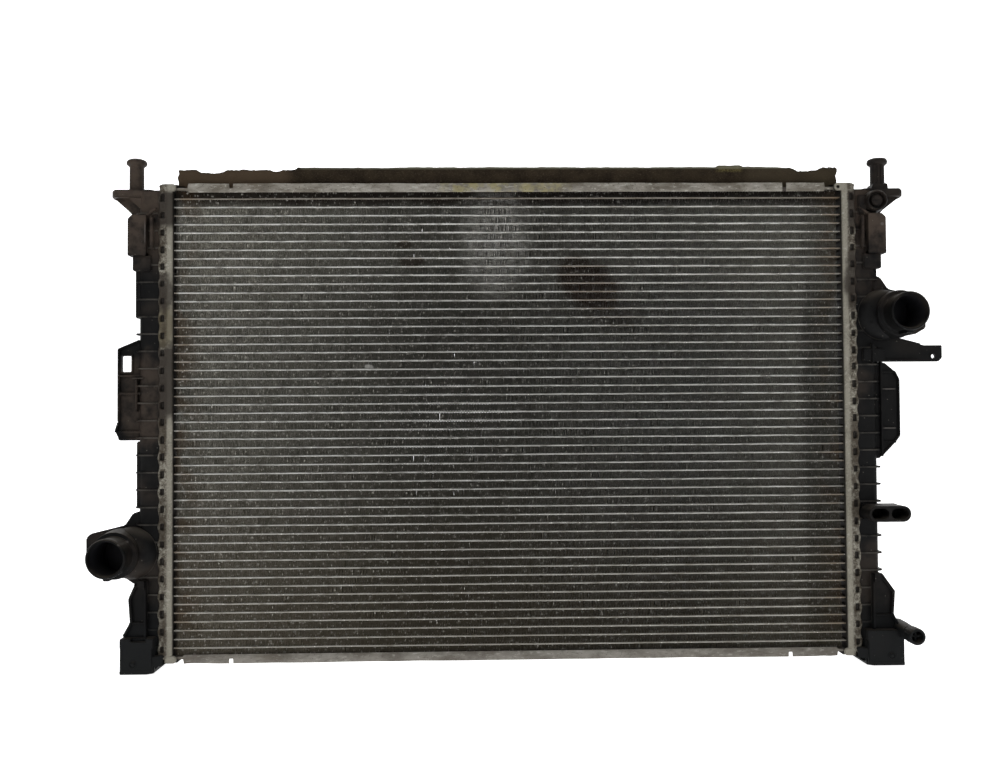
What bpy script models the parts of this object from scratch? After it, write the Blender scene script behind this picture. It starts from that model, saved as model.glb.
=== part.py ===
"""Car radiator: a cross-flow aluminium core with black plastic end tanks.

Frame: +X to the right, seen from the hose side; -Y towards the viewer, the way both hose stubs
point; +Z up. The origin is at the bottom, in the middle of the whole radiator's box. Every size
below is in millimetres and measured from the middle of the core, and place() moves it all to
the origin and into metres. In the tanks, x is the distance outwards from the core's middle, and
side is -1 for the left tank and +1 for the right one.
"""

import math

import bmesh
import bpy
from mathutils import Matrix

MM = 0.001

# Core: flat tubes with a fin strip between each two, and one more outside each end tube.
TUBE_COUNT = 53
TUBE_PITCH = 8.6
TUBE_THICK = 1.8
CORE_DEPTH = 26.0
FIN_DEPTH = 25.2
FIN_HALF_LENGTH = 330.0
TUBE_HALF_LENGTH = 341.0
CORE_MID_Z = 245.3
BRAZE_OVERLAP = 0.05
GAP = 0.3

# Header plates: aluminium trays, open outwards, crimped over the tank's foot.
HEADER_IN = 335.5
HEADER_OUT = 350.3
HEADER_BASE = 1.6
HEADER_WALL = 1.5
HEADER_HALF_DEPTH = 19.5
HEADER_HALF_LENGTH = 237.0
LIP_THICK = 1.3
LIP_REACH = 1.1
HEADER_TAB_IN = 328.5

# End tanks.
FOOT_FLANGE_X = (340.2, 348.7)
FOOT_FLANGE_HALF_DEPTH = 17.6
FOOT_FLANGE_HALF_LENGTH = 235.1
TANK_OUT = 370.0
TANK_HALF_DEPTH = 16.5
TANK_HALF_LENGTH = 231.7
TANK_CORNER = 7.0
TANK_WALL = 2.6
RIB_IN = 351.2
RIB_OUT = 373.6
RIB_HALF_DEPTH = 18.0
RIB_THICK = 1.7
RIB_OFFSET = 1.9
RIB_PITCH = 2 * TUBE_PITCH
RIBS_EACH_WAY = 13
GASKET_X = (337.5, 339.9)
GASKET_WIDE = 3.4

# Locating pegs on top of the tanks, each on a round flange.
PEG_X = {-1: 376.7, 1: 379.3}
PEG_RADIUS = 7.2
PEG_HEAD_RADIUS = 10.1
PEG_TOP_Z = 512.2
PEG_FLANGE_RADIUS = 23.5
PEG_FLANGE_HALF_DEPTH = 15.0
PEG_FLANGE_Z = (470.6, 478.2)

# Hose stubs, both along -Y.
STUB_X = 387.0
STUB_Z = {-1: 116.3, 1: 348.8}
STUB_BORE = 15.7
STUB_MOUTH_Y = -63.0
STUB_FLOOR_Y = 7.0
STUB_WEB_TIP_X = 422.5

# Feet: the radiator stands on their undersides.
FOOT_OUT = {-1: 383.6, 1: 388.2}
FOOT_Y = (-30.0, 24.0)
FOOT_TOP_Z = 34.6

# The tip of the right tank's arm, which is the widest point of that side.
ARM_TIP_X = 438.4

# Bleed screw and drain plug: a cap with a threaded shank, and a rubber ring under the cap.
BLEED = {
    "x": 369.0,
    "z": 463.6,
    "seat_y": -22.0,
    "shank": 3.4,
    "shank_end_y": -15.5,
    "cap": 5.6,
    "cap_long": 3.8,
    "ring": 5.2,
    "socket": 0.0,
    "notches": 1,
    "notch": (1.3, 1.3),
}
DRAIN = {
    "x": 389.2,
    "z": 33.6,
    "seat_y": -42.0,
    "shank": 4.2,
    "shank_end_y": -26.0,
    "cap": 8.0,
    "cap_long": 16.6,
    "ring": 6.8,
    "socket": 5.6,
    "notches": 4,
    "notch": (2.0, 2.4),
}
RING_THICK = 0.9
SHANK_CLEARANCE = 0.15
ROUND_STEPS = 16
STUB_STEPS = 24

# Side plates: channels above and below the core.
PLATE_HALF_LENGTH = 321.5
PLATE_WEB_HALF_LENGTH = 334.5
PLATE_WEB = (231.7, 233.1)
PLATE_FLANGE = (229.7, 238.5)
PLATE_FLANGE_Y = (13.4, 14.9)
PLATE_HOLE_X = 278.7

# Air seal: a soft strip that stands in the top channel.
SEAL_TOP_Z = 502.8
SEAL_HALF_LENGTH = 333.5
SEAL_HALF_DEPTH = 9.0

SIDES = {"left": -1, "right": 1}

# The middle of the whole box, which becomes the origin.
BOX_MIDDLE = ((ARM_TIP_X - STUB_WEB_TIP_X) / 2, (STUB_MOUTH_Y + FOOT_Y[1]) / 2, 0.0)


def clear_scene():
    for thing in list(bpy.data.objects):
        bpy.data.objects.remove(thing)


def make_material(name, colour, roughness, metallic=0.0):
    material = bpy.data.materials.new(name)
    material.use_nodes = True
    shader = material.node_tree.nodes["Principled BSDF"]
    shader.inputs["Base Color"].default_value = (*colour, 1.0)
    shader.inputs["Roughness"].default_value = roughness
    shader.inputs["Metallic"].default_value = metallic
    return material


def prism(outline, across, low, high, side=1):
    """A closed prism. The outline holds the two coordinates that aren't the one across it."""
    order = {"X": (2, 0, 1), "Y": (0, 2, 1), "Z": (0, 1, 2)}[across]
    solid = bmesh.new()
    rings = []
    for level in (low, high):
        ring = []
        for a, b in outline:
            values = (a, b, level)
            point = [values[order[i]] * MM for i in range(3)]
            point[0] *= side
            ring.append(solid.verts.new(point))
        rings.append(ring)
    count = len(outline)
    for i in range(count):
        j = (i + 1) % count
        solid.faces.new((rings[0][i], rings[0][j], rings[1][j], rings[1][i]))
    solid.faces.new(rings[0])
    solid.faces.new(rings[1])
    bmesh.ops.recalc_face_normals(solid, faces=solid.faces)
    return solid


def block(x, y, z, side=1):
    """A rectangular block from (low, high) pairs."""
    corners = [(x[0], y[0]), (x[1], y[0]), (x[1], y[1]), (x[0], y[1])]
    return prism(corners, "Z", z[0], z[1], side)


def turned(profile, across, centre, side=1, ring=False, steps=ROUND_STEPS):
    """A turned solid about an axis along Y or Z, from (radius, place along the axis) points."""
    solid = bmesh.new()
    loops = []
    for radius, along in profile:
        loop = []
        for i in range(steps if radius > 0 else 1):
            angle = 2 * math.pi * i / steps
            a = centre[0] + radius * math.cos(angle)
            b = centre[1] + radius * math.sin(angle)
            point = (a, along, b) if across == "Y" else (a, b, along)
            loop.append(solid.verts.new((side * point[0] * MM, point[1] * MM, point[2] * MM)))
        loops.append(loop)
    pairs = list(zip(loops, loops[1:]))
    if ring:
        pairs.append((loops[-1], loops[0]))
    for first, second in pairs:
        for i in range(steps):
            j = (i + 1) % steps
            corners = [first[i % len(first)], first[j % len(first)]]
            corners += [second[j % len(second)], second[i % len(second)]]
            face = list(dict.fromkeys(corners))
            if len(face) > 2:
                solid.faces.new(face)
    bmesh.ops.recalc_face_normals(solid, faces=solid.faces)
    return solid


def arc(centre, radius, start, end, steps):
    """Points on an arc, in degrees, both ends included."""
    points = []
    for i in range(steps + 1):
        angle = math.radians(start + (end - start) * i / steps)
        points.append(
            (centre[0] + radius * math.cos(angle), centre[1] + radius * math.sin(angle))
        )
    return points


def rounded(x, z, radius, steps=4):
    """A rectangle with round corners, from (low, high) pairs."""
    points = []
    corners = ((x[1], z[1], 0), (x[0], z[1], 90), (x[0], z[0], 180), (x[1], z[0], 270))
    for corner_x, corner_z, start in corners:
        inward_x = -radius if corner_x == x[1] else radius
        inward_z = -radius if corner_z == z[1] else radius
        centre = (corner_x + inward_x, corner_z + inward_z)
        points += arc(centre, radius, start, start + 90, steps)
    return points


def place(name, solid, material=None, origin=BOX_MIDDLE):
    """Makes the object. Its origin, in millimetres, is where a moving piece turns."""
    solid.transform(Matrix.Translation([-value * MM for value in origin]))
    mesh = bpy.data.meshes.new(name)
    solid.to_mesh(mesh)
    solid.free()
    thing = bpy.data.objects.new(name, mesh)
    thing.location = [(origin[i] - BOX_MIDDLE[i]) * MM for i in range(3)]
    bpy.context.scene.collection.objects.link(thing)
    if material:
        mesh.materials.append(material)
        mesh.shade_smooth()
        mesh.set_sharp_from_angle(angle=math.radians(35))
    return thing


def boolean(thing, operation, solids):
    """Adds or cuts a list of closed solids, held as hidden helpers in a collection."""
    name = f"{thing.name}_{operation.lower()}"
    helpers = bpy.data.collections.new(name)
    bpy.context.scene.collection.children.link(helpers)
    for number, solid in enumerate(solids):
        helper = place(f"{name}_{number:02d}", solid)
        bpy.context.scene.collection.objects.unlink(helper)
        helpers.objects.link(helper)
        helper.hide_render = True
        helper.display_type = "WIRE"
    modifier = thing.modifiers.new(operation.title(), "BOOLEAN")
    modifier.operation = operation
    modifier.solver = "EXACT"
    modifier.operand_type = "COLLECTION"
    modifier.collection = helpers


# Core


def tube_z(number):
    """Height of a tube's middle. Tube 0 is the lowest."""
    return CORE_MID_Z + (number - (TUBE_COUNT - 1) / 2) * TUBE_PITCH


def tube_levels(number, grow=0.0):
    """Lowest and highest point of a tube."""
    half = TUBE_THICK / 2 + grow
    return (tube_z(number) - half, tube_z(number) + half)


def tube_solid(number):
    half = CORE_DEPTH / 2
    return block((-TUBE_HALF_LENGTH, TUBE_HALF_LENGTH), (-half, half), tube_levels(number))


def fin_solid(number, top_gap=0.0, bottom_gap=0.0):
    """The outer box of the fin strip under the tube of the same number."""
    above = tube_z(number) - TUBE_THICK / 2
    below = above - (TUBE_PITCH - TUBE_THICK)
    low = below + bottom_gap if bottom_gap else below - BRAZE_OVERLAP
    high = above - top_gap if top_gap else above + BRAZE_OVERLAP
    half = FIN_DEPTH / 2
    return block((-FIN_HALF_LENGTH, FIN_HALF_LENGTH), (-half, half), (low, high))


def make_core(material):
    """Brazed rows: two tubes and two fin strips each, and the last has one tube and two strips."""
    row_count = (TUBE_COUNT + 1) // 2
    for row in range(row_count):
        lower = 2 * row
        last = row == row_count - 1
        parts = [fin_solid(lower, bottom_gap=GAP)]
        if last:
            parts.append(fin_solid(lower + 1, top_gap=GAP))
        else:
            parts += [fin_solid(lower + 1), tube_solid(lower + 1)]
        thing = place(f"core_row_{row + 1:02d}", tube_solid(lower), material)
        boolean(thing, "UNION", parts)


# Header plates, gaskets and side plates


def core_span(half):
    return (CORE_MID_Z - half, CORE_MID_Z + half)


def make_header(name, side, material):
    outer = block(
        (HEADER_IN, HEADER_OUT),
        (-HEADER_HALF_DEPTH, HEADER_HALF_DEPTH),
        core_span(HEADER_HALF_LENGTH),
        side,
    )
    header = place(name, outer, material)
    inner_depth = HEADER_HALF_DEPTH - HEADER_WALL
    inner_length = HEADER_HALF_LENGTH - HEADER_WALL
    tab_depth = inner_depth - 1.0
    tabs = []
    for end in (-1, 1):
        levels = sorted((CORE_MID_Z + end * inner_length, CORE_MID_Z + end * HEADER_HALF_LENGTH))
        tabs.append(block((HEADER_TAB_IN, HEADER_IN + 1), (-tab_depth, tab_depth), levels, side))
    boolean(header, "UNION", tabs)
    base_top = HEADER_IN + HEADER_BASE
    cuts = [
        block(
            (base_top, HEADER_OUT - LIP_THICK),
            (-inner_depth, inner_depth),
            core_span(inner_length),
            side,
        ),
        block(
            (HEADER_OUT - 2 * LIP_THICK, HEADER_OUT + 2),
            (LIP_REACH - inner_depth, inner_depth - LIP_REACH),
            core_span(inner_length - LIP_REACH),
            side,
        ),
    ]
    slot_depth = CORE_DEPTH / 2 + GAP
    for number in range(TUBE_COUNT):
        levels = tube_levels(number, GAP)
        cuts.append(block((HEADER_IN - 1, base_top + 1), (-slot_depth, slot_depth), levels, side))
    boolean(header, "DIFFERENCE", cuts)


def make_gasket(name, side, material):
    depth = FOOT_FLANGE_HALF_DEPTH
    length = FOOT_FLANGE_HALF_LENGTH
    gasket = place(name, block(GASKET_X, (-depth, depth), core_span(length), side), material)
    inner_depth = depth - GASKET_WIDE
    inner_length = length - GASKET_WIDE
    hole_x = (GASKET_X[0] - 1, GASKET_X[1] + 1)
    hole = block(hole_x, (-inner_depth, inner_depth), core_span(inner_length), side)
    boolean(gasket, "DIFFERENCE", [hole])


def make_side_plate(name, up, material):
    """A channel with its flanges lapping the core's front and back. up is +1 above the core."""

    def levels(pair, grow=0.0):
        return sorted((CORE_MID_Z + up * (pair[0] - grow), CORE_MID_Z + up * (pair[1] + grow)))

    web_depth = PLATE_FLANGE_Y[0] + 0.5
    web = block(
        (-PLATE_WEB_HALF_LENGTH, PLATE_WEB_HALF_LENGTH),
        (-web_depth, web_depth),
        levels(PLATE_WEB),
    )
    plate = place(name, web, material)
    flanges = []
    for front in (-1, 1):
        depth = sorted((front * PLATE_FLANGE_Y[0], front * PLATE_FLANGE_Y[1]))
        length = (-PLATE_HALF_LENGTH, PLATE_HALF_LENGTH)
        flanges.append(block(length, depth, levels(PLATE_FLANGE)))
    boolean(plate, "UNION", flanges)
    holes = []
    for hole_x in (-PLATE_HOLE_X, PLATE_HOLE_X):
        depth = (-PLATE_FLANGE_Y[1] - 1, -PLATE_FLANGE_Y[0] + 1)
        holes.append(block((hole_x - 2.0, hole_x + 2.0), depth, levels((233.9, 240.0))))
    boolean(plate, "DIFFERENCE", holes)


def make_air_seal(name, material):
    foot_z = CORE_MID_Z + PLATE_WEB[1] + GAP
    step_z = CORE_MID_Z + HEADER_HALF_LENGTH + GAP + 0.1
    foot_x = HEADER_TAB_IN - 1.0
    half = [(foot_x, foot_z), (foot_x, step_z), (SEAL_HALF_LENGTH, step_z)]
    half.append((SEAL_HALF_LENGTH, SEAL_TOP_Z))
    outline = half + [(-x, z) for x, z in reversed(half)]
    place(name, prism(outline, "Y", -SEAL_HALF_DEPTH, SEAL_HALF_DEPTH), material)


# End tanks


def tank_section(x_in, x_out, half_depth, corner, steps=2):
    """The tank's section across Z: square towards the core, round at its outer corners."""
    outline = [(x_in, -half_depth)]
    outline += arc((x_out - corner, corner - half_depth), corner, -90, 0, steps)
    outline += arc((x_out - corner, half_depth - corner), corner, 0, 90, steps)
    outline.append((x_in, half_depth))
    return outline


def tank_shell(side):
    depth = FOOT_FLANGE_HALF_DEPTH
    body = tank_section(FOOT_FLANGE_X[1] - 2, TANK_OUT, TANK_HALF_DEPTH, TANK_CORNER)
    return [
        block(FOOT_FLANGE_X, (-depth, depth), core_span(FOOT_FLANGE_HALF_LENGTH), side),
        prism(body, "Z", *core_span(TANK_HALF_LENGTH), side),
    ]


def tank_cavity(side):
    depth = TANK_HALF_DEPTH - TANK_WALL
    corner = TANK_CORNER - TANK_WALL
    section = tank_section(FOOT_FLANGE_X[0] - 2, TANK_OUT - TANK_WALL, depth, corner)
    return prism(section, "Z", *core_span(TANK_HALF_LENGTH - TANK_WALL - 0.4), side)


def tank_ribs(side):
    section = tank_section(RIB_IN, RIB_OUT, RIB_HALF_DEPTH, TANK_CORNER, 1)
    ribs = []
    for number in range(-RIBS_EACH_WAY, RIBS_EACH_WAY):
        middle = CORE_MID_Z + number * RIB_PITCH + RIB_OFFSET
        ribs.append(prism(section, "Z", middle - RIB_THICK / 2, middle + RIB_THICK / 2, side))
    return ribs


def peg(side):
    """A headed peg on a flange, with a gusset down to the tank."""
    centre = (PEG_X[side], 0.0)
    low, high = PEG_FLANGE_Z
    head = PEG_HEAD_RADIUS
    profile = [(0, low + 1), (PEG_RADIUS, low + 1), (PEG_RADIUS, PEG_TOP_Z - 9.2)]
    profile += [(head, PEG_TOP_Z - 6.6), (head, PEG_TOP_Z - 2.6), (head - 1.4, PEG_TOP_Z)]
    profile.append((0, PEG_TOP_Z))
    flange = []
    for x, y in arc(centre, PEG_FLANGE_RADIUS, 0, 360 - 360 / 20, 19):
        flange.append((x, max(-PEG_FLANGE_HALF_DEPTH, min(PEG_FLANGE_HALF_DEPTH, y))))
    tip = PEG_X[side] + PEG_FLANGE_RADIUS
    gusset = [(362, low + 1), (tip - 3, low + 1), (tip - 3, low), (383, 457.8), (375, 449), (362, 444)]
    return [
        turned(profile, "Z", centre, side),
        prism(flange, "Z", low, high, side),
        prism(gusset, "Y", -5, 5, side),
    ]


def shroud_pocket(side):
    """A pocket for the fan shroud's tongue."""
    bevel = [(360.3, 410.5), (378.4, 410.5), (378.4, 447), (374.4, 451), (360.3, 451)]
    return [prism(bevel, "Y", -25, -12, side)]


def pocket_supports(side):
    """The thin wall beside the shroud pocket and the block under it."""
    return [
        block((354, 357.2), (-23, -12), (417, 449), side),
        block((357, 374.9), (-20, -10), (396, 411), side),
    ]


def shroud_pocket_hollow(side):
    return block((363, 375.6), (-22.4, -16.6), (414, 460), side)


def stub(side):
    """Hose stub: beaded mouth, stop collar, and a bulb that joins the tank, on a web."""
    z = STUB_Z[side]
    mouth = STUB_MOUTH_Y
    spout = [(0, mouth), (18.3, mouth), (19.2, mouth + 1.2), (19.2, mouth + 4.2)]
    spout += [(18.6, mouth + 5.4), (18.6, -38.4), (22.9, -37.6), (22.9, -34.6), (21, -33.6)]
    spout += [(24.5, -20), (24.5, 12), (0, 12)]
    bulb = [(0, -29), (12, -28.6), (19, -26.4), (24, -22), (26, -16), (26, 12), (0, 12)]
    tip = STUB_WEB_TIP_X
    web = [(366, 42), (376.4, 38.9), (384.3, 27.1), (418, 19), (tip, 15), (tip, -13)]
    web += [(412, -19), (385.7, -24), (376, -30.6), (366, -34)]
    web = [(x, z + rise) for x, rise in web]
    key = block((STUB_X - 3, STUB_X + 3), (mouth + 3, -38), (z - 21.2, z - 17), side)
    return [
        turned(spout, "Y", (STUB_X, z), side, steps=STUB_STEPS),
        turned(bulb, "Y", (376, z), side, steps=STUB_STEPS),
        prism(web, "Y", -12, -6, side),
        key,
    ]


def stub_hollow(side):
    z = STUB_Z[side]
    half = STUB_BORE - 2.2
    bore = [(0, STUB_MOUTH_Y - 2), (STUB_BORE, STUB_MOUTH_Y - 2), (STUB_BORE, STUB_FLOOR_Y)]
    bore.append((0, STUB_FLOOR_Y))
    return [
        turned(bore, "Y", (STUB_X, z), side, steps=STUB_STEPS),
        block((350, STUB_X), (-13.2, STUB_FLOOR_Y - 0.2), (z - half, z + half), side),
    ]


def foot(side):
    """A foot block with a slanted front corner, and the pillar that carries it."""
    out = FOOT_OUT[side]
    front, back = FOOT_Y
    base = [(out, front), (357, front), (351.2, -22), (351.2, back), (out, back)]
    sole = [(out, front), (357, front), (343, -20.2), (343, back), (out, back)]
    nose = [(357, front), (343.5, -20.2), (357, -20.2)]
    pillar = [(359.8, 90), (369.5, 90), (out - 6.2, 73), (out - 7.8, 49.2), (out, 35)]
    pillar += [(out, 30), (359.8, 30)]
    return [
        prism(base, "Z", 0, FOOT_TOP_Z, side),
        prism(sole, "Z", 0, 7.9, side),
        prism(nose, "Z", 0, 16.7, side),
        prism(pillar, "Y", -24, 12, side),
    ]


def foot_hollow(side):
    """The moulding's hollow, open to the back, and the chamfer at the foot's inner end."""
    out = FOOT_OUT[side] - 3.2
    front = FOOT_Y[0] + 3.2
    back = FOOT_Y[1] + 4
    chamfer = [(354.2, -1), (338, -1), (338, 13.1)]
    recess = [(0, FOOT_Y[0] - 1), (2.4, FOOT_Y[0] - 1), (2.4, FOOT_Y[0] + 1.4), (0, FOOT_Y[0] + 1.4)]
    return [
        block((373.4, out), (front, back), (3.6, 24.5), side),
        block((356.5, out), (front, back), (3.6, 10.8), side),
        prism(chamfer, "Y", FOOT_Y[0] - 1, FOOT_Y[1] + 1, side),
        turned(recess, "Y", (FOOT_OUT[side] - 12.7, 9.8), side),
    ]


def left_bracket():
    """Windowed plate on the left tank, with a rim and three stiffening ribs."""
    side = SIDES["left"]
    plate = [(364, 326), (369.3, 328.1), (391.4, 319), (391.4, 246), (394.4, 236), (390.5, 227.5)]
    plate.append((364, 227.5))
    solids = [
        prism(plate, "Y", -10, -7, side),
        block((389.4, 391.4), (-14, -7), (246, 319), side),
    ]
    for rib_z in (235.9, 274.3, 291.9):
        solids.append(block((366, 391.4), (-14, -7), (rib_z - 1, rib_z + 1), side))
    return solids


def left_pads():
    """Two long pads on the left tank's outer wall, above and below its bracket."""
    side = SIDES["left"]
    return [
        block((366, 372.6), (-13, 13), (161, 226.5), side),
        block((366, 374), (-13, 13), (349.3, 397), side),
    ]


def left_bracket_window():
    return prism(rounded((378.2, 387.8), (295.8, 311.8), 1.2, 2), "Y", -20, 0, SIDES["left"])


def right_arm():
    """Arm under the upper stub, thinner towards its tip, with a lip along its lower edge."""
    side = SIDES["right"]
    root = [(364, 331), (390.3, 326.4), (415, 319.7), (415, 301.7), (364, 301.7)]
    tip = [(412, 320.2), (420.4, 318.2), (ARM_TIP_X, 318.2), (ARM_TIP_X, 305.4), (434.6, 301.7)]
    tip.append((412, 301.7))
    return [
        prism(root, "Y", -14.5, -8, side),
        prism(tip, "Y", -12, -8, side),
        block((376, 413), (-18, -8), (301.7, 303.9), side),
        block((355, 377), (-20, -12), (302, 314.5), side),
    ]


def right_bracket():
    """Plate below the arm, with an upright rib and three cross ribs."""
    side = SIDES["right"]
    plate = [(364, 303), (380.3, 300.6), (389.9, 292.6), (394.3, 283.7), (394.3, 226.5)]
    plate += [(389.6, 220.6), (373.3, 203.9), (364, 203.9)]
    solids = [
        prism(plate, "Y", -10, -7, side),
        block((374.4, 376.4), (-14, -7), (206, 302), side),
        block((366, 372.5), (-13, 13), (383.5, 400), side),
    ]
    for rib_z in (234.5, 274.1, 291.5):
        solids.append(block((374.4, 390), (-13, -7), (rib_z - 0.9, rib_z + 0.9), side))
    return solids


def right_lug():
    """A hollow lug with round ends. Its back part stays clear of the header plate."""
    outline = rounded((349.2, 390.6), (143.1, 158.7), 7.79, 4)
    side = SIDES["right"]
    back = block((352, 386), (-22, -13), (143.1, 158.7), side)
    return [prism(outline, "Y", -46, -20.3, side), back]


def right_lug_cells():
    cells = []
    for x in ((351.7, 368.8), (371.2, 388.1)):
        outline = rounded(x, (145.6, 156.2), 5.2, 3)
        cells.append(prism(outline, "Y", -50, -23, SIDES["right"]))
    return cells


def screw_bosses():
    """The right tank's bosses for the bleed screw and the drain plug."""
    side = SIDES["right"]
    bleed_face = BLEED["seat_y"] - 6
    bleed = [(0, bleed_face), (9.3, bleed_face), (9.9, bleed_face + 0.8), (9.9, -10), (0, -10)]
    drain = [(0, DRAIN["seat_y"]), (6.9, DRAIN["seat_y"]), (7.6, DRAIN["seat_y"] + 0.9)]
    drain += [(7.6, -8), (0, -8)]
    return [
        turned(bleed, "Y", (BLEED["x"], BLEED["z"]), side),
        turned(drain, "Y", (DRAIN["x"], DRAIN["z"]), side),
        block((366, 389), (-16, -8), (28.6, 38.6), side),
    ]


def screw_bores():
    """The recess and bores of both bosses, each open into the tank."""
    side = SIDES["right"]
    seat = BLEED["seat_y"]
    bore = BLEED["shank"] + SHANK_CLEARANCE
    bleed = [(0, seat - 8), (8.2, seat - 8), (8.2, seat), (bore, seat), (bore, -12), (0, -12)]
    seat = DRAIN["seat_y"]
    bore = DRAIN["shank"] + SHANK_CLEARANCE
    drain = [(0, seat - 2), (bore, seat - 2), (bore, -11), (0, -11)]
    return [
        turned(bleed, "Y", (BLEED["x"], BLEED["z"]), side),
        turned(drain, "Y", (DRAIN["x"], DRAIN["z"]), side),
        block((364, DRAIN["x"]), (-13.5, -11), (DRAIN["z"] - 2, DRAIN["z"] + 2), side),
    ]


def own_solids(side):
    """What is moulded on only one of the tanks."""
    if side == SIDES["left"]:
        return left_pads()
    return right_arm() + right_bracket() + screw_bosses()


def own_cuts(side):
    """The right tank's bores, the hole in its arm and the seam in its peg."""
    if side == SIDES["left"]:
        return []
    hole = [(0, -30), (2.2, -30), (2.2, 0), (0, 0)]
    seam = (PEG_X[1] - 0.6, PEG_X[1] + 0.6)
    cuts = screw_bores()
    cuts.append(turned(hole, "Y", (429.1, 307.0), side))
    cuts.append(block(seam, (-12, -6.2), (480, PEG_TOP_Z + 1), side))
    return cuts


def tank_solids(side):
    """Everything moulded in one with the tank's trough, with no hollows."""
    solids = tank_shell(side) + tank_ribs(side) + peg(side) + pocket_supports(side)
    return solids + foot(side) + own_solids(side)


def make_tank(name, side, material):
    solids = tank_solids(side)
    tank = place(name, solids[1], material)
    boolean(tank, "UNION", solids[:1] + solids[2:])
    hollows = [tank_cavity(side), shroud_pocket_hollow(side)]
    hollows += stub_hollow(side) + foot_hollow(side) + own_cuts(side)
    boolean(tank, "DIFFERENCE", hollows)


def make_fitting(name, side, material, solids, hollows):
    """A fitting on the tank. It stops at the tank's outer faces."""
    fitting = place(name, solids[0], material)
    if solids[1:]:
        boolean(fitting, "UNION", solids[1:])
    boolean(fitting, "DIFFERENCE", tank_solids(side) + hollows)


def make_screw(name, spec, cap_material, ring_material):
    """A threaded plug with its seal ring under the cap. Both turn or slide about the same axis."""
    centre = (spec["x"], spec["z"])
    seat = spec["seat_y"]
    under = seat - RING_THICK - 2 * GAP
    end = under - spec["cap_long"]
    cap, shank = spec["cap"], spec["shank"]
    profile = [(0, end)]
    if spec["socket"]:
        floor = under - 5
        profile = [(0, floor), (spec["socket"], floor), (spec["socket"], end)]
    profile += [(cap - 0.6, end), (cap, end + 0.6), (cap, under - 0.4), (cap - 0.4, under)]
    profile += [(shank, under), (shank, spec["shank_end_y"] - 1)]
    profile += [(shank - 1, spec["shank_end_y"]), (0, spec["shank_end_y"])]
    origin = (spec["x"], seat, spec["z"])
    plug = place(name, turned(profile, "Y", centre), cap_material, origin)
    wide, deep = spec["notch"]
    notches = []
    for number in range(spec["notches"]):
        bar = block((-cap - 1, cap + 1), (end - 1, end + deep), (-wide / 2, wide / 2))
        bar.transform(Matrix.Rotation(math.pi * number / spec["notches"], 4, "Y"))
        bar.transform(Matrix.Translation((spec["x"] * MM, 0, spec["z"] * MM)))
        notches.append(bar)
    boolean(plug, "DIFFERENCE", notches)
    inner = shank + SHANK_CLEARANCE
    outer = spec["ring"]
    low, high = seat - GAP - RING_THICK, seat - GAP
    bevel = 0.25
    ring = [(inner, low), (outer - bevel, low), (outer, low + bevel), (outer, high - bevel)]
    ring += [(outer - bevel, high), (inner, high)]
    place(f"{name}_seal", turned(ring, "Y", centre, ring=True), ring_material, origin)


def main():
    clear_scene()
    aluminium = make_material("core_aluminium", (0.36, 0.34, 0.31), 0.5, 0.8)
    header_metal = make_material("header_aluminium", (0.24, 0.23, 0.2), 0.55, 0.7)
    plate_metal = make_material("plate_aluminium", (0.3, 0.29, 0.25), 0.5, 0.7)
    plastic = make_material("tank_plastic", (0.012, 0.012, 0.012), 0.55)
    rubber = make_material("gasket_rubber", (0.02, 0.02, 0.02), 0.8)
    foam = make_material("seal_foam", (0.03, 0.02, 0.012), 0.95)
    cap = make_material("plug_plastic", (0.01, 0.01, 0.01), 0.5)
    make_core(aluminium)
    for word, side in SIDES.items():
        make_header(f"header_plate_{word}", side, header_metal)
        make_gasket(f"gasket_{word}", side, rubber)
    make_side_plate("side_plate_top", 1, plate_metal)
    make_side_plate("side_plate_bottom", -1, plate_metal)
    make_air_seal("air_seal_top", foam)
    for word, side in SIDES.items():
        make_tank(f"tank_{word}", side, plastic)
        make_fitting(f"hose_stub_{word}", side, plastic, stub(side), stub_hollow(side))
        pocket = shroud_pocket(side)
        make_fitting(f"shroud_pocket_{word}", side, plastic, pocket, [shroud_pocket_hollow(side)])
    left, right = SIDES["left"], SIDES["right"]
    make_fitting("clip_bracket_left", left, plastic, left_bracket(), [left_bracket_window()])
    make_fitting("clip_lug_right", right, plastic, right_lug(), right_lug_cells())
    make_screw("bleed_screw", BLEED, cap, rubber)
    make_screw("drain_plug", DRAIN, cap, rubber)


main()
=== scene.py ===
"""Looks of the car radiator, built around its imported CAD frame.

Lengths are in millimetres, measured from the middle of the core, and make() moves them to the
frame and into metres. Left and right pieces are drawn once, with x as the distance outwards from
the core's middle; side is -1 for the left one and +1 for the right one.
"""

import math

import bmesh
import bpy
import numpy as np
from mathutils import Matrix, Vector
from mathutils.geometry import tessellate_polygon


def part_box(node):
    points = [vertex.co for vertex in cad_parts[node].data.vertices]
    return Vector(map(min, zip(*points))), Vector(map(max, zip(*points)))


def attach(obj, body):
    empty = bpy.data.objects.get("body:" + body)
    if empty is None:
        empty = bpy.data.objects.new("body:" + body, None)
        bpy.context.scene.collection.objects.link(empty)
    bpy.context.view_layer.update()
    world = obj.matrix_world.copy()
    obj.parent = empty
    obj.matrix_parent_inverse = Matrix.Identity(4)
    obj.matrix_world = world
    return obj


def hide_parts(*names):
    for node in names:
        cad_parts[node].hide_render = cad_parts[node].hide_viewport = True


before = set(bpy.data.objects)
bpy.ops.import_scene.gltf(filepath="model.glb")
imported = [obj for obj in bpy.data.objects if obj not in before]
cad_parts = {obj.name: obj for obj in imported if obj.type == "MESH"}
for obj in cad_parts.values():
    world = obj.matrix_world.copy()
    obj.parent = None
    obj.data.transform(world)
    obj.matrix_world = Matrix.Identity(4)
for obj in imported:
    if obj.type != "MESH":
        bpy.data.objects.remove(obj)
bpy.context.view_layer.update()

MM = 0.001
SIDES = {"left": -1, "right": 1}
row_low, row_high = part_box("core_row_01")
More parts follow.
